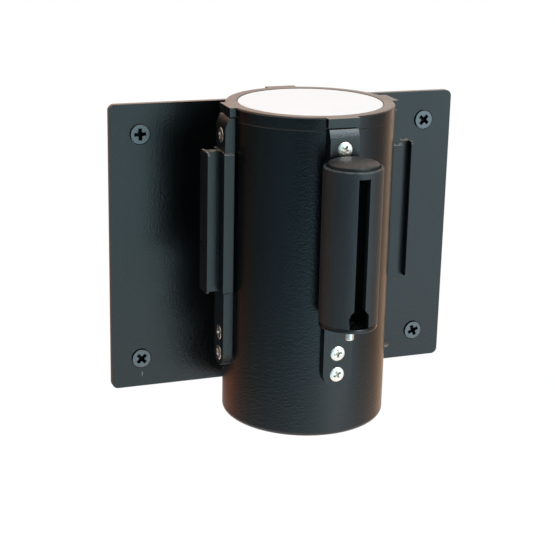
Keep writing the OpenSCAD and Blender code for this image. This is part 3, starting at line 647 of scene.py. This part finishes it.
class BARRIER_OT_finishes(bpy.types.Operator):
    """Make the unit's finishes and give the carried inner parts theirs"""

    bl_idname = "barrier.finishes"
    bl_label = "Finishes"

    def execute(self, context):
        c = context.scene.barrier_finishes
        g = build_groups()
        # each black finish lightens its marked edges partly as wear and partly as a painted highlight
        black_finish("plate powder coat", g, c.plate, (0.22, 0.29), 1500.0, 0.70, edge_mark=0.30, dust=0.05, patches=16.0,
                     chip={"at": (PLATE_LOW.x + 0.0149, PLATE_LOW.y, PLATE_LOW.z + 0.0062),
                           "size": (0.00035, 0.01, 0.0018)})
        black_finish("tube satin coat", g, c.housing, (0.20, 0.27), 1500.0, 0.70, edge_mark=0.35, patches=22.0)
        black_finish("bracket moulding", g, c.moulded, (0.26, 0.34), 1400.0, 0.70, edge_mark=0.6, dust=1.0)
        black_finish("cap moulding", g, c.cap, (0.22, 0.30), 1400.0, 0.65, edge_mark=0.5, dust=0.08)
        black_finish("belt end moulding", g, shade_of(c.moulded, 6.5)[:3], (0.41, 0.51), 1300.0, 0.80, edge_mark=0.6,
                     dust=0.10)
        black_finish("gloss moulding", g, c.moulded, (0.10, 0.18), 1800.0, 0.05, edge_mark=0.2)
        metal_finish("black oxide", g, (0.115, 0.120, 0.125), (0.28, 0.42), 1500.0, 0.5, tone=0.7)
        black_finish("grey moulding", g, (0.16, 0.17, 0.18), (0.40, 0.55), 2200.0, 0.25, edge_mark=0.2, wear_and_highlight_tone=1.4)
        disc_finish("disc gloss white", g, c.disc)
        metal_finish("bright plate", g, c.bright, (0.20, 0.34), 1500.0, 0.15)
        metal_finish("zinc plate", g, c.zinc, (0.32, 0.48), 1100.0, 0.35)
        metal_finish("blued spring steel", g, (0.20, 0.23, 0.30), (0.25, 0.4), 1400.0, 0.25)
        metal_finish("sintered bronze", g, (0.48, 0.33, 0.16), (0.4, 0.58), 2500.0, 0.5)
        webbing_finish("belt webbing", g, c.webbing, True)
        webbing_finish("belt webbing flat", g, c.webbing, False)
        kept = {
            "zinc plate": ("front_bar", "left_bar", "right_bar", "back_bar", "top_plate", "bottom_plate", "bar_screws",
                           "spindle_nuts", "spindle_washers", "base_posts", "cap_screws", "spool_screws"),
            "bright plate": ("guide_pins", "spindle"),
            "grey moulding": ("spring_arbor", "spring_barrel", "barrel_lid", "spool_drum", "upper_flange",
                              "lower_flange"),
            "blued spring steel": ("power_spring",),
            "sintered bronze": ("upper_bush", "lower_bush"),
        }
        for name, nodes in kept.items():
            for carried in nodes:
                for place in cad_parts[carried].material_slots:
                    place.material = finish(name)
        return {"FINISHED"}


def wall_screw_at(sizes, side, level):
    """Where a wall screw stands on the plate; side and level are -0.5 or 0.5."""
    middle = (PLATE_LOW + PLATE_HIGH) / 2 - FOOT
    return middle.x + side * sizes.span_x, middle.z + level * sizes.span_z


class BARRIER_OT_wall_plate(bpy.types.Operator):
    """Build the wall plate with its countersunk holes"""

    bl_idname = "barrier.wall_plate"
    bl_label = "Wall plate"

    def execute(self, context):
        p = context.scene.barrier_plate
        low, high = PLATE_LOW - FOOT, PLATE_HIGH - FOOT
        sheet = outline([(low.x, low.z), (high.x, low.z), (high.x, high.z), (low.x, high.z)],
                        {i: p.corner for i in range(4)}, 8)
        plate = facing_out(raised(sheet, low.y, high.y))
        bmesh.ops.scale(plate, vec=(1, -1, 1), verts=plate.verts)
        bmesh.ops.reverse_faces(plate, faces=plate.faces)
        sink = p.head - p.rise + p.rim
        above = 0.0005
        tools = []
        for side in (-0.5, 0.5):
            for level in (-0.5, 0.5):
                x, z = wall_screw_at(p, side, level)
                hole = rod(WALL_HOLE, -0.004, 0.001, segments=48)
                cone = rod(WALL_HOLE, -sink + WALL_HOLE, above, top=sink + above, segments=72)
                ring = rod(p.head + 0.0005, -0.0006, above, segments=72)
                tools += [moved(facing_out(tool), x, low.y, z) for tool in (hole, cone, ring)]
        for level in SCREW_LEVELS:
            back = rod(0.0037, -0.0004, 0.0018, top=SMALL_HOLE, segments=48)
            tools.append(moved(facing_out(back), 0, high.y, level))
        plate = softened(carved(plate, *tools), p.edge, 3, 40)
        finished("wall_plate_coated", plate, "plate powder coat", ("wall_plate",))
        return {"FINISHED"}


def thread(pitch, rounds=6.6, steps=24):
    """A helical ridge that fades in below z = 0 and narrows towards the screw's point."""
    root, crest = 0.0016, 0.00238
    ridge = bmesh.new()
    section = ((root, 0, 0.00055), (crest, 0, 0.00004), (crest, 0, -0.00004), (root, 0, -0.00055))
    corners = [ridge.verts.new(corner) for corner in section]
    for i in range(4):
        ridge.edges.new((corners[i], corners[(i + 1) % 4]))
    bmesh.ops.spin(ridge, geom=ridge.verts[:] + ridge.edges[:], cent=(0, 0, 0), axis=(0, 0, 1),
                   dvec=(0, 0, -pitch / steps), angle=math.tau * rounds, steps=int(steps * rounds), use_duplicate=False)
    bmesh.ops.holes_fill(ridge, edges=[e for e in ridge.edges if e.is_boundary], sides=4)
    for vert in ridge.verts:
        fall = max(0.0, (-vert.co.z - 0.0112) / 0.003)
        fade = max(0.0, (0.0012 + vert.co.z) / 0.0012)
        shrink = 1 - 0.62 * min(fall, 1) ** 1.5 - 0.25 * fade
        vert.co.x *= shrink
        vert.co.y *= shrink
    bmesh.ops.recalc_face_normals(ridge, faces=ridge.faces)
    return ridge


class BARRIER_OT_wall_screws(bpy.types.Operator):
    """Build the four black wall screws with their threads"""

    bl_idname = "barrier.wall_screws"
    bl_label = "Wall screws"

    def execute(self, context):
        p = context.scene.barrier_plate
        face = (PLATE_LOW - FOOT).y - p.rise
        reach = (PLATE_HIGH - FOOT).y - face
        # the turn of each cross recess in degrees, by its place on the plate
        turns = {(-0.5, 0.5): 2, (-0.5, -0.5): 43, (0.5, 0.5): 50, (0.5, -0.5): 24}
        whole = []
        for (side, level), turn in turns.items():
            head = turned([(0, -reach - 0.008), (WALL_SHANK, -reach - 0.008), (WALL_SHANK, -reach), (WALL_NECK, -reach),
                           (WALL_NECK, -p.rim - p.head + WALL_NECK), (p.head, -p.rim), (p.head, -0.00012),
                           (p.head * 0.975, -0.00002), (p.head * 0.6, 0), (0, 0)], 56)
            cross = cross_tools(p.head * 0.72, p.head * 0.5, turn, 0.27)
            # the cross recess is marked for painted shade
            head = shaded(softened(carved(head, *cross), 0.0001, 2, 45), p.head * 0.8, p.head * 0.6)
            tip = turned([(0, -0.025), (0.0004, -0.0242), (0.0016, -0.0205), (0.00175, -0.0195), (0.00175, -0.0075),
                          (0, -0.0075)], 32)
            one = joined(head, moved(tip, z=-reach), moved(thread(p.pitch), z=-reach - 0.0085))
            x, z = wall_screw_at(p, side, level)
            whole.append(moved(facing_out(one), x, face, z))
        finished("wall_screws_black", joined(*whole), "black oxide", ("wall_screws",))
        return {"FINISHED"}


class BARRIER_OT_housing(bpy.types.Operator):
    """Build the tube with its seats and slit, and the cover under it"""

    bl_idname = "barrier.housing"
    bl_label = "Housing"

    def execute(self, context):
        h = context.scene.barrier_housing
        b = context.scene.barrier_brackets
        inner = h.radius - h.wall
        tube = turned([(inner, 0.0002), (h.radius - 0.0001, 0), (h.radius, h.height), (inner, h.height)], 160,
                      {1: h.foot_round, 2: 0.0003}, 8)
        tools = []
        wide = b.width / 2 + 0.0002
        for turn in (FRONT, RIGHT, LEFT):
            seat = panel(wide, b.bottom, TALL, {0: wide - 1e-5, 1: wide - 1e-5}, 12)
            tools.append(facing_out(raised(seat, h.seat, 0.05), turn=turn))
        tools.append(block((-0.02, 0.02), (h.seat, 0.05), (-0.001, TALL)))
        tools.append(belt_slit())
        tube = softened(carved(tube, *tools), 0.0002, 2, 50)
        finished("housing_tube_coated", tube, "tube satin coat", ("housing_tube",))

        wide = inner - 0.0002
        cover = turned([(0, COVER_LOW), (wide, COVER_LOW), (wide, COVER_WALL_TOP), (wide - COVER_WALL, COVER_WALL_TOP),
                        (wide - COVER_WALL, COVER_TOP), (0, COVER_TOP)], 128, {1: 0.0004})
        rings = [turned_rod(r + 0.0012, 0.0010, 0.0016, 96, inner=r) for r in COVER_RIDGES]
        sinks, screws = [], []
        for turn in (30, 150, 270):
            x = COVER_SCREW_RING * math.cos(math.radians(turn))
            y = COVER_SCREW_RING * math.sin(math.radians(turn))
            sinks.append(rod(0.0036, 0.0010, 0.0029, top=SMALL_HOLE, segments=48, at=(x, y)))
            one = tilted(screw(b.screw_head, 0.009, 0.0002, 15 + turn), 180)
            screws.append(moved(one, x, y, 0.0013))
        cover = softened(carved(cover, *rings, *sinks), 0.00025, 2, 50)
        finished("base_cover_moulded", cover, "bracket moulding", ("base_cover",))
        finished("base_screws_zinc", joined(*screws), "zinc plate", ("base_screws",))
        return {"FINISHED"}


class BARRIER_OT_cap(bpy.types.Operator):
    """Build the cap ring with its four tabs and the disc in it"""

    bl_idname = "barrier.cap"
    bl_label = "Cap"

    def execute(self, context):
        h = context.scene.barrier_housing
        b = context.scene.barrier_brackets
        top = h.height + h.cap_height
        disc_low = top - h.disc_thickness - 0.0001
        inner = h.disc_radius + 0.0002
        floor = disc_low - 0.0022
        inside = h.radius - h.wall
        skirt, skirt_inner, skirt_low = inside - 0.0002, inside - 0.0026, h.height - 0.0017
        ring = turned([(0, floor), (skirt_inner, floor), (skirt_inner, skirt_low), (skirt, skirt_low),
                       (skirt, h.height), (h.radius, h.height), (h.radius, top), (inner, top), (inner, disc_low),
                       (0, disc_low)],
                      160, {5: 0.0003, 6: 0.0009, 7: 0.0003}, 6)
        half = h.tab_width / 2
        tab_low = b.top + 0.0007
        sides = (FRONT, RIGHT, BACK, LEFT)
        tabs = [on_side(block((-half, half), (-h.tab_reach, -h.radius + 0.002), (tab_low, top - 0.00002)), turn)
                for turn in sides]
        notches = [on_side(block((-half, half), (-0.05, -h.seat), (h.height - 0.001, tab_low)), turn) for turn in sides]
        ring = carved(carved(ring, *notches), *tabs, how="UNION")
        ring = softened(ring, 0.0003, 3, 50)
        finished("cap_ring_moulded", ring, "cap moulding", ("cap_ring",))
        disc = turned_rod(h.disc_radius, disc_low, disc_low + h.disc_thickness, 192, {2: 0.0004}, 5)
        edge_mark = disc.loops.layers.float.new("edge_mark")
        for face in disc.faces:
            for corner in face.loops:
                corner[edge_mark] = 1.0 if corner.vert.co.xy.length > h.disc_radius - 0.0003 else 0.0
        finished("cap_disc_gloss", disc, "disc gloss white", ("cap_disc",))
        return {"FINISHED"}


def bracket_shape(h, b, turn, rail):
    """A bracket with its pad, three countersinks, and a T-rail or the belt's slit."""
    half = b.width / 2
    body = panel(half, b.bottom, b.top, {0: half - 1e-5, 1: half - 1e-5}, 14)
    body = facing_out(raised(body, h.seat, b.face))
    slope = math.degrees(math.atan2(SLOPE_DEPTH, SLOPE_HEIGHT))
    wedge = tilted(block((-0.02, 0.02), (-0.01, 0), (-0.001, 0.009)), -slope)
    moved(wedge, y=-b.face, z=b.top - SLOPE_HEIGHT)
    sinks = []
    for level in SCREW_LEVELS:
        sinks.append(facing_out(rod(SMALL_HOLE, -0.006, 0.001, segments=40), b.face, level))
        cone = rod(SMALL_HOLE, -0.0016, 0.0004, top=b.screw_head + 0.0005, segments=56)
        sinks.append(facing_out(cone, b.face, level))
    body = carved(body, wedge, *sinks)
    pad = panel(b.pad_width / 2, b.rail_bottom, b.rail_top, {i: 0.001 for i in range(4)}, 5)
    parts = [facing_out(raised(pad, h.radius + 0.0002, b.pad_face))]
    if rail:
        neck_out = b.pad_face + b.neck_length
        parts.append(block((-b.neck_width / 2, b.neck_width / 2), (-neck_out - 0.0005, -b.pad_face + 0.0005),
                           (b.rail_bottom, b.rail_top)))
        head = panel(b.head_width / 2, b.rail_bottom, b.rail_top, {i: 0.0015 for i in range(4)}, 6)
        parts.append(facing_out(raised(head, neck_out, neck_out + b.head_thick)))
    body = carved(body, *parts, how="UNION")
    if not rail:
        body = carved(body, belt_slit())
    return on_side(softened(body, 0.00028, 3, 38), turn)


class BARRIER_OT_brackets(bpy.types.Operator):
    """Build the mouth bracket, the two rail brackets and their bright screws"""

    bl_idname = "barrier.brackets"
    bl_label = "Brackets and rails"

    def execute(self, context):
        h = context.scene.barrier_housing
        b = context.scene.barrier_brackets
        for name, turn, rail, cad in (("mouth_bracket_moulded", FRONT, False, "mouth_bracket"),
                                      ("left_receiver_moulded", LEFT, True, "left_receiver"),
                                      ("right_receiver_moulded", RIGHT, True, "right_receiver")):
            finished(name, bracket_shape(h, b, turn, rail), "bracket moulding", (cad,))
        sets = (("front_screws_bright", FRONT, "front_screws", (28, 8, 62)),
                ("left_screws_bright", LEFT, "left_screws", (50, 20, 75)),
                ("right_screws_bright", RIGHT, "right_screws", (15, 66, 40)))
        for name, turn, cad, angles in sets:
            row = [facing_out(screw(b.screw_head, 0.0098, 0.00035, angle), b.face, level, turn)
                   for level, angle in zip(SCREW_LEVELS, angles)]
            finished(name, joined(*row), "bright plate", (cad,))
        back = (PLATE_HIGH - FOOT).y
        row = []
        for level, angle in zip(SCREW_LEVELS, (12, 70, 35)):
            one = facing_out(screw(b.screw_head, 0.0083, 0.0001, angle, sink=0.0016), turn=BACK)
            row.append(moved(one, 0, back, level))
        finished("plate_screws_zinc", joined(*row), "zinc plate", ("plate_screws",))
        return {"FINISHED"}


class BARRIER_OT_belt_end(bpy.types.Operator):
    """Build the slotted belt end with its domed cap and pin, and the ledge under it"""

    bl_idname = "barrier.belt_end"
    bl_label = "Belt end"

    def execute(self, context):
        e = context.scene.barrier_belt_end
        t = context.scene.barrier_belt
        b = context.scene.barrier_brackets
        low = e.bottom
        shell = carved(rod(e.radius, low, e.rim, segments=144), behind(e.flat))
        cavity = carved(rod(CAVITY_RADIUS, low - 0.001, CAVITY_TOP, segments=96), behind(e.flat - 0.0021),
                        block((-FAR, FAR), (-FAR, -CAVITY_FRONT), (0, TALL)))
        channel = block((-CHANNEL_HALF, CHANNEL_HALF), (-CAVITY_FRONT, -CHANNEL_BACK), (low - 0.002, CAVITY_TOP))
        slot = block((-e.slot / 2, e.slot / 2), (-0.02, -0.008), (e.mouth_top - 0.001, CAVITY_TOP))
        flared = [(e.mouth / 2, low - 0.01), (e.mouth / 2, e.mouth_top - 0.002), (e.slot / 2, e.mouth_top)]
        mirrored = [(-x, z) for x, z in reversed(flared)]
        mouth = facing_out(raised(outline(mirrored[-1:] + flared + mirrored[:-1]), 0.008, 0.02))
        recess = carved(rod(RECESS_RADIUS, RECESS_LOW, 0.14, segments=128), behind(e.flat - 0.001))
        slit = block((-0.0012, 0.0012), (0, FAR), (t.middle - t.width / 2 - 0.001, t.middle + t.width / 2 + 0.001))
        bore = rod(PIN_RADIUS, CAVITY_TOP - 0.001, PIN_TOP, segments=32)
        shell = carved(shell, cavity, channel, slot, mouth, recess, slit, bore)

        def on_outer_rim(edge):
            return all(v.co.z > e.rim - 1e-5 and v.co.xy.length > 0.0125 for v in edge.verts)

        shell = softened(softened(shell, 0.0007, 4, 38, keep=on_outer_rim), 0.0003, 3, 38)
        finished("belt_end_body", moved(shell, y=-e.reach), "belt end moulding", ("belt_end_shell",),
                 "belt_end")

        dome = turned([(0, RECESS_LOW), (DOME_RADIUS, RECESS_LOW), (DOME_RADIUS, DOME_EDGE), (0.0106, 0.13045),
                       (0.0095, 0.1309), (0.0078, 0.1314), (0.0055, 0.1318), (0.003, 0.13204), (0, 0.1321)],
                      128, {2: 0.0003}, 4)
        dome = softened(carved(dome, behind(e.flat - 0.0014)), 0.0003, 3, 38)
        finished("belt_end_dome", moved(dome, y=-e.reach), "belt end moulding", ("belt_end_cap",),
                 "belt_end")

        under = e.bottom - 0.0003 - e.ledge
        over = under + e.ledge
        hole = rod(PIN_RADIUS, under - 0.001, over + 0.001, segments=48, at=(0, -e.pin_ahead))
        ledge = carved(rod(e.radius - 0.0001, under, over, segments=144), behind(e.reach - b.face), hole)
        ledge = moved(softened(ledge, 0.0004, 3, 40), y=-e.reach)
        finished("rest_ledge_gloss", ledge, "gloss moulding", ("rest_ledge",))
        peg = moved(turned_rod(PIN_RADIUS, under - e.ledge_pin, over, 48, {1: 0.0006}, 5), y=-e.reach - e.pin_ahead)
        finished("ledge_pin_bright", peg, "bright plate", ("ledge_pin",))

        pin = turned_rod(PIN_RADIUS, e.bottom + 0.001, PIN_TOP, 48, {1: 0.0003}, 3)
        finished("belt_pin_black", moved(pin, y=-e.reach), "black oxide", ("belt_pin",), "belt_end")
        return {"FINISHED"}


class BARRIER_OT_belt(bpy.types.Operator):
    """Build the woven belt: the roll, the stretch to the mouth and the stretch to the belt end"""

    bl_idname = "barrier.belt"
    bl_label = "Belt"

    def execute(self, context):
        t = context.scene.barrier_belt
        e = context.scene.barrier_belt_end
        low = t.middle - t.width / 2
        count = t.turns * 40
        path = []
        for i in range(count + 1):
            share = i / count
            angle = math.tau * t.turns * share - math.pi / 2
            radius = t.inner + (t.outer - t.inner) * share
            path.append((radius * math.cos(angle), radius * math.sin(angle)))
        roll = strap(path, low, t.width, t.thickness * 0.92, across=4)
        finished("webbing_roll", roll, "belt webbing", ("belt_roll",), "spool", weighted=False)

        feed_high = Vector(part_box("belt_feed")[1]) - FOOT
        start = Vector((feed_high.x - 0.0004, feed_high.y - 0.0003))
        bend = Vector((0.0004, -0.0325))
        track = [start, start.lerp(bend, 0.5), bend, Vector((0.0002, -0.0334))]
        track += [Vector((BELT_LINE, y)) for y in (-0.0345, -0.0365, BELT_MOUTH)]
        feed = strap(track, low, t.width, t.thickness * 0.9, across=8, steps=24)
        finished("webbing_feed", feed, "belt webbing", ("belt_feed",), weighted=False)

        eye = 0.0023
        heart = -e.reach
        lead = [Vector((BELT_LINE, BELT_MOUTH)), Vector((BELT_LINE, heart + 0.0055)), Vector((0.0009, heart + 0.0035))]
        for i in range(19):
            angle = math.radians(60 - i * 300 / 18)
            lead.append(Vector((eye * math.cos(angle), heart + eye * math.sin(angle))))
        lead += [Vector((-0.0006, heart + 0.0035)), Vector((-0.0005, heart + 0.0075))]
        loop = strap(lead, low, t.width, t.thickness * 0.9, across=8, steps=80)
        piece = finished("webbing_lead", loop, "belt webbing flat", ("belt_lead",), None, weighted=False)
        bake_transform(piece)
        return {"FINISHED"}


def set_camera(scene, s):
    level = math.cos(s.elevation)
    back = Vector((-math.sin(s.azimuth) * level, -math.cos(s.azimuth) * level, math.sin(s.elevation)))
    right = (-back).cross(Vector((0, 0, 1))).normalized()
    up = right.cross(-back)
    tilt = Matrix.Rotation(s.roll, 3, -back)
    right, up = tilt.inverted() @ right, tilt.inverted() @ up
    lens = bpy.data.cameras.new("camera")
    camera = bpy.data.objects.new("camera", lens)
    scene.collection.objects.link(camera)
    turn = Matrix((right, up, back)).transposed().to_4x4()
    camera.matrix_world = Matrix.Translation(Vector(s.aim) + back * s.distance) @ turn
    lens.sensor_width = 36.0
    lens.lens = s.lens
    lens.shift_x, lens.shift_y = 0.00447, -0.02418
    lens.clip_start, lens.clip_end = 0.01, 50.0
    scene.camera = camera
    scene.view_settings.view_transform = "Standard"


def lay_floor(scene, s):
    """A round pale floor that fades out towards its edge and doesn't show from below."""
    ground = bmesh.new()
    bmesh.ops.create_circle(ground, cap_ends=True, segments=128, radius=s.floor_radius)
    middle = (0, -0.1, -s.floor_drop)
    bmesh.ops.translate(ground, vec=middle, verts=ground.verts)
    mesh = bpy.data.meshes.new("floor")
    ground.to_mesh(mesh)
    ground.free()
    floor = bpy.data.objects.new("floor", mesh)
    scene.collection.objects.link(floor)
    paint = bpy.data.materials.new("floor paint")
    paint.use_nodes = True
    tree = paint.node_tree
    tree.nodes.clear()
    place = on_object(tree)
    colour = mixed(tree, noise(tree, place, 60.0, 3.0), (0.86, 0.86, 0.86, 1), (0.89, 0.89, 0.89, 1))
    matt = node(tree, "ShaderNodeBsdfDiffuse", {"Color": colour}).outputs[0]
    glow = node(tree, "ShaderNodeEmission", {"Color": (1, 1, 1, 1), "Strength": 0.1}).outputs[0]
    lit = node(tree, "ShaderNodeAddShader", {0: matt, 1: glow}).outputs[0]
    clear = node(tree, "ShaderNodeBsdfTransparent").outputs[0]
    away = node(tree, "ShaderNodeVectorMath", {0: place, 1: middle}, operation="DISTANCE").outputs["Value"]
    fade = between(tree, away, s.floor_radius * 0.25, s.floor_radius * 0.85)
    under = node(tree, "ShaderNodeNewGeometry").outputs["Backfacing"]
    gone = maths(tree, "MAXIMUM", fade, under)
    out = node(tree, "ShaderNodeOutputMaterial")
    tree.links.new(node(tree, "ShaderNodeMixShader", {0: gone, 1: lit, 2: clear}).outputs[0], out.inputs["Surface"])
    mesh.materials.append(paint)


def light_surroundings(scene):
    """White to the camera and to reflections from straight behind; otherwise a room with a window in front."""
    world = bpy.data.worlds.new("studio")
    scene.world = world
    world.use_nodes = True
    tree = world.node_tree
    tree.nodes.clear()
    ray = node(tree, "ShaderNodeLightPath")
    way = node(tree, "ShaderNodeTexCoord").outputs["Generated"]

    split = node(tree, "ShaderNodeSeparateXYZ", {0: way})
    heading = maths(tree, "ARCTAN2", split.outputs["X"], maths(tree, "MULTIPLY", split.outputs["Y"], -1.0))
    around = maths(tree, "MULTIPLY_ADD", heading, 1 / math.tau, 0.5)

    def ring(stops):
        """Colours all the way round, by heading in degrees, 0 straight ahead of the unit."""
        made = node(tree, "ShaderNodeValToRGB", {0: around})
        bands = made.color_ramp.elements
        bands[0].color = (*stops[0][1], 1.0)
        bands[-1].color = (*stops[-1][1], 1.0)
        for angle, colour in stops[1:-1]:
            bands.new(angle / 360 + 0.5).color = (*colour, 1.0)
        return made.outputs["Color"]

    def towards(direction, low, high):
        """How far a ray goes in one direction, from 0 to 1 between two cosines."""
        ahead = {0: way, 1: Vector(direction).normalized()}
        facing = node(tree, "ShaderNodeVectorMath", ahead, operation="DOT_PRODUCT").outputs["Value"]
        limits = {0: facing, 1: low, 2: high}
        return node(tree, "ShaderNodeMapRange", limits, interpolation_type="SMOOTHSTEP").outputs[0]

    low_room = ring([(-180, (0.42, 0.25, 0.18)), (-146, (0.66, 0.16, 0.06)), (-108, (0.24, 0.20, 0.15)),
                     (-80, (0.20, 0.28, 0.34)), (-50, (0.22, 0.48, 0.64)), (-20, (0.58, 1.12, 1.40)),
                     (12, (0.98, 1.52, 1.74)), (28, (1.40, 1.66, 1.92)), (64, (0.52, 0.66, 0.70)),
                     (100, (0.78, 0.46, 0.28)), (130, (0.95, 0.62, 0.42)), (180, (0.42, 0.25, 0.18))])
    mid_room = ring([(-180, (0.50, 0.36, 0.28)), (-146, (0.34, 0.16, 0.11)), (-120, (0.06, 0.03, 0.04)),
                     (-83, (0.10, 0.20, 0.21)), (-53, (0.15, 0.27, 0.35)), (-25, (0.05, 0.06, 0.07)),
                     (-6, (0.14, 0.20, 0.24)), (12, (1.02, 1.60, 1.70)), (28, (1.80, 2.40, 2.60)),
                     (45, (1.40, 1.70, 1.85)), (64, (0.46, 0.56, 0.62)), (92, (0.24, 0.22, 0.20)),
                     (120, (0.85, 0.64, 0.48)), (148, (1.80, 1.20, 0.80)), (180, (0.50, 0.36, 0.28))])
    high_room = ring([(-180, (1.20, 0.72, 0.52)), (-120, (0.90, 0.76, 0.66)), (-88, (1.30, 1.30, 1.28)),
                      (-50, (0.60, 0.68, 0.72)), (0, (0.40, 0.48, 0.52)), (40, (0.80, 0.92, 0.98)),
                      (100, (0.80, 0.66, 0.54)), (150, (1.40, 1.16, 1.00)), (170, (1.75, 1.06, 0.72)),
                      (180, (1.20, 0.72, 0.52))])
    room = mixed(tree, between(tree, split.outputs["Z"], -0.22, -0.38), mid_room, low_room)
    room = mixed(tree, between(tree, split.outputs["Z"], 0.02, 0.2), room, high_room)
    window = mixed(tree, towards((0.338, -0.797, 0.5), 0.94, 0.99), room, (6.8, 8.4, 9.3, 1))
    above = mixed(tree, towards((0.1, -0.25, 1), 0.6, 0.97), window, (0.90, 0.91, 0.92, 1))
    backdrop = towards((0.33, 0.90, -0.1), 0.93, 0.99)
    bounced = maths(tree, "MAXIMUM", ray.outputs["Is Glossy Ray"], ray.outputs["Is Transmission Ray"])
    seen = maths(tree, "MAXIMUM", ray.outputs["Is Camera Ray"], maths(tree, "MULTIPLY", bounced, backdrop))
    light = node(tree, "ShaderNodeBackground", {"Color": above, "Strength": 1.0}).outputs[0]
    white = node(tree, "ShaderNodeBackground", {"Color": (1, 1, 1, 1), "Strength": 1.0}).outputs[0]
    out = node(tree, "ShaderNodeOutputWorld")
    tree.links.new(node(tree, "ShaderNodeMixShader", {0: seen, 1: light, 2: white}).outputs[0], out.inputs["Surface"])


def lamp(scene, name, at, aim, size, power, colour):
    data = bpy.data.lights.new(name, "AREA")
    data.shape = "DISK"
    data.size = size
    data.energy = power
    data.color = colour
    shining = bpy.data.objects.new(name, data)
    scene.collection.objects.link(shining)
    shining.location = at
    shining.rotation_euler = (Vector(aim) - Vector(at)).to_track_quat("-Z", "Y").to_euler()


class BARRIER_OT_stage(bpy.types.Operator):
    """Set the camera, the floor, the surroundings and the lamps"""

    bl_idname = "barrier.stage"
    bl_label = "Stage"

    def execute(self, context):
        scene = context.scene
        set_camera(scene, scene.barrier_stage)
        lay_floor(scene, scene.barrier_stage)
        light_surroundings(scene)
        lamp(scene, "key lamp", (0.7, -1.3, 1.2), (0, -0.04, 0), 0.7, 7.0, (1.0, 1.0, 1.0))
        lamp(scene, "top lamp", (-0.3, -0.4, 1.6), (0, -0.04, 0), 0.9, 6.0, (1.0, 0.99, 0.97))
        return {"FINISHED"}


class BARRIER_PT_panel(bpy.types.Panel):
    """Lists the unit's pieces, sizes and colours"""

    bl_idname = "BARRIER_PT_panel"
    bl_label = "Belt barrier"
    bl_space_type = "VIEW_3D"
    bl_region_type = "UI"
    bl_category = "Barrier"

    def draw(self, context):
        for group in PROPERTIES:
            column = self.layout.box().column(align=True)
            settings = getattr(context.scene, group)
            for name in settings.__annotations__:
                column.prop(settings, name)
        for step in STEPS:
            self.layout.operator(step)


STEPS = ("barrier.stage", "barrier.finishes", "barrier.wall_plate", "barrier.wall_screws", "barrier.housing",
         "barrier.cap", "barrier.brackets", "barrier.belt_end", "barrier.belt")
PROPERTIES = {"barrier_housing": HousingSizes, "barrier_plate": PlateSizes, "barrier_brackets": BracketSizes,
              "barrier_belt_end": BeltEndSizes, "barrier_belt": BeltSizes, "barrier_finishes": Finishes,
              "barrier_stage": StageSettings}
CLASSES = (*PROPERTIES.values(), BARRIER_OT_finishes, BARRIER_OT_wall_plate, BARRIER_OT_wall_screws,
           BARRIER_OT_housing, BARRIER_OT_cap, BARRIER_OT_brackets, BARRIER_OT_belt_end, BARRIER_OT_belt,
           BARRIER_OT_stage, BARRIER_PT_panel)


def register():
    for item in CLASSES:
        bpy.utils.register_class(item)
    for name, group in PROPERTIES.items():
        setattr(bpy.types.Scene, name, PointerProperty(type=group))


def unregister():
    for name in PROPERTIES:
        delattr(bpy.types.Scene, name)
    for item in reversed(CLASSES):
        bpy.utils.unregister_class(item)


def main():
    register()
    for step in STEPS:
        family, name = step.split(".")
        getattr(getattr(bpy.ops, family), name)()


if __name__ == "__main__":
    main()
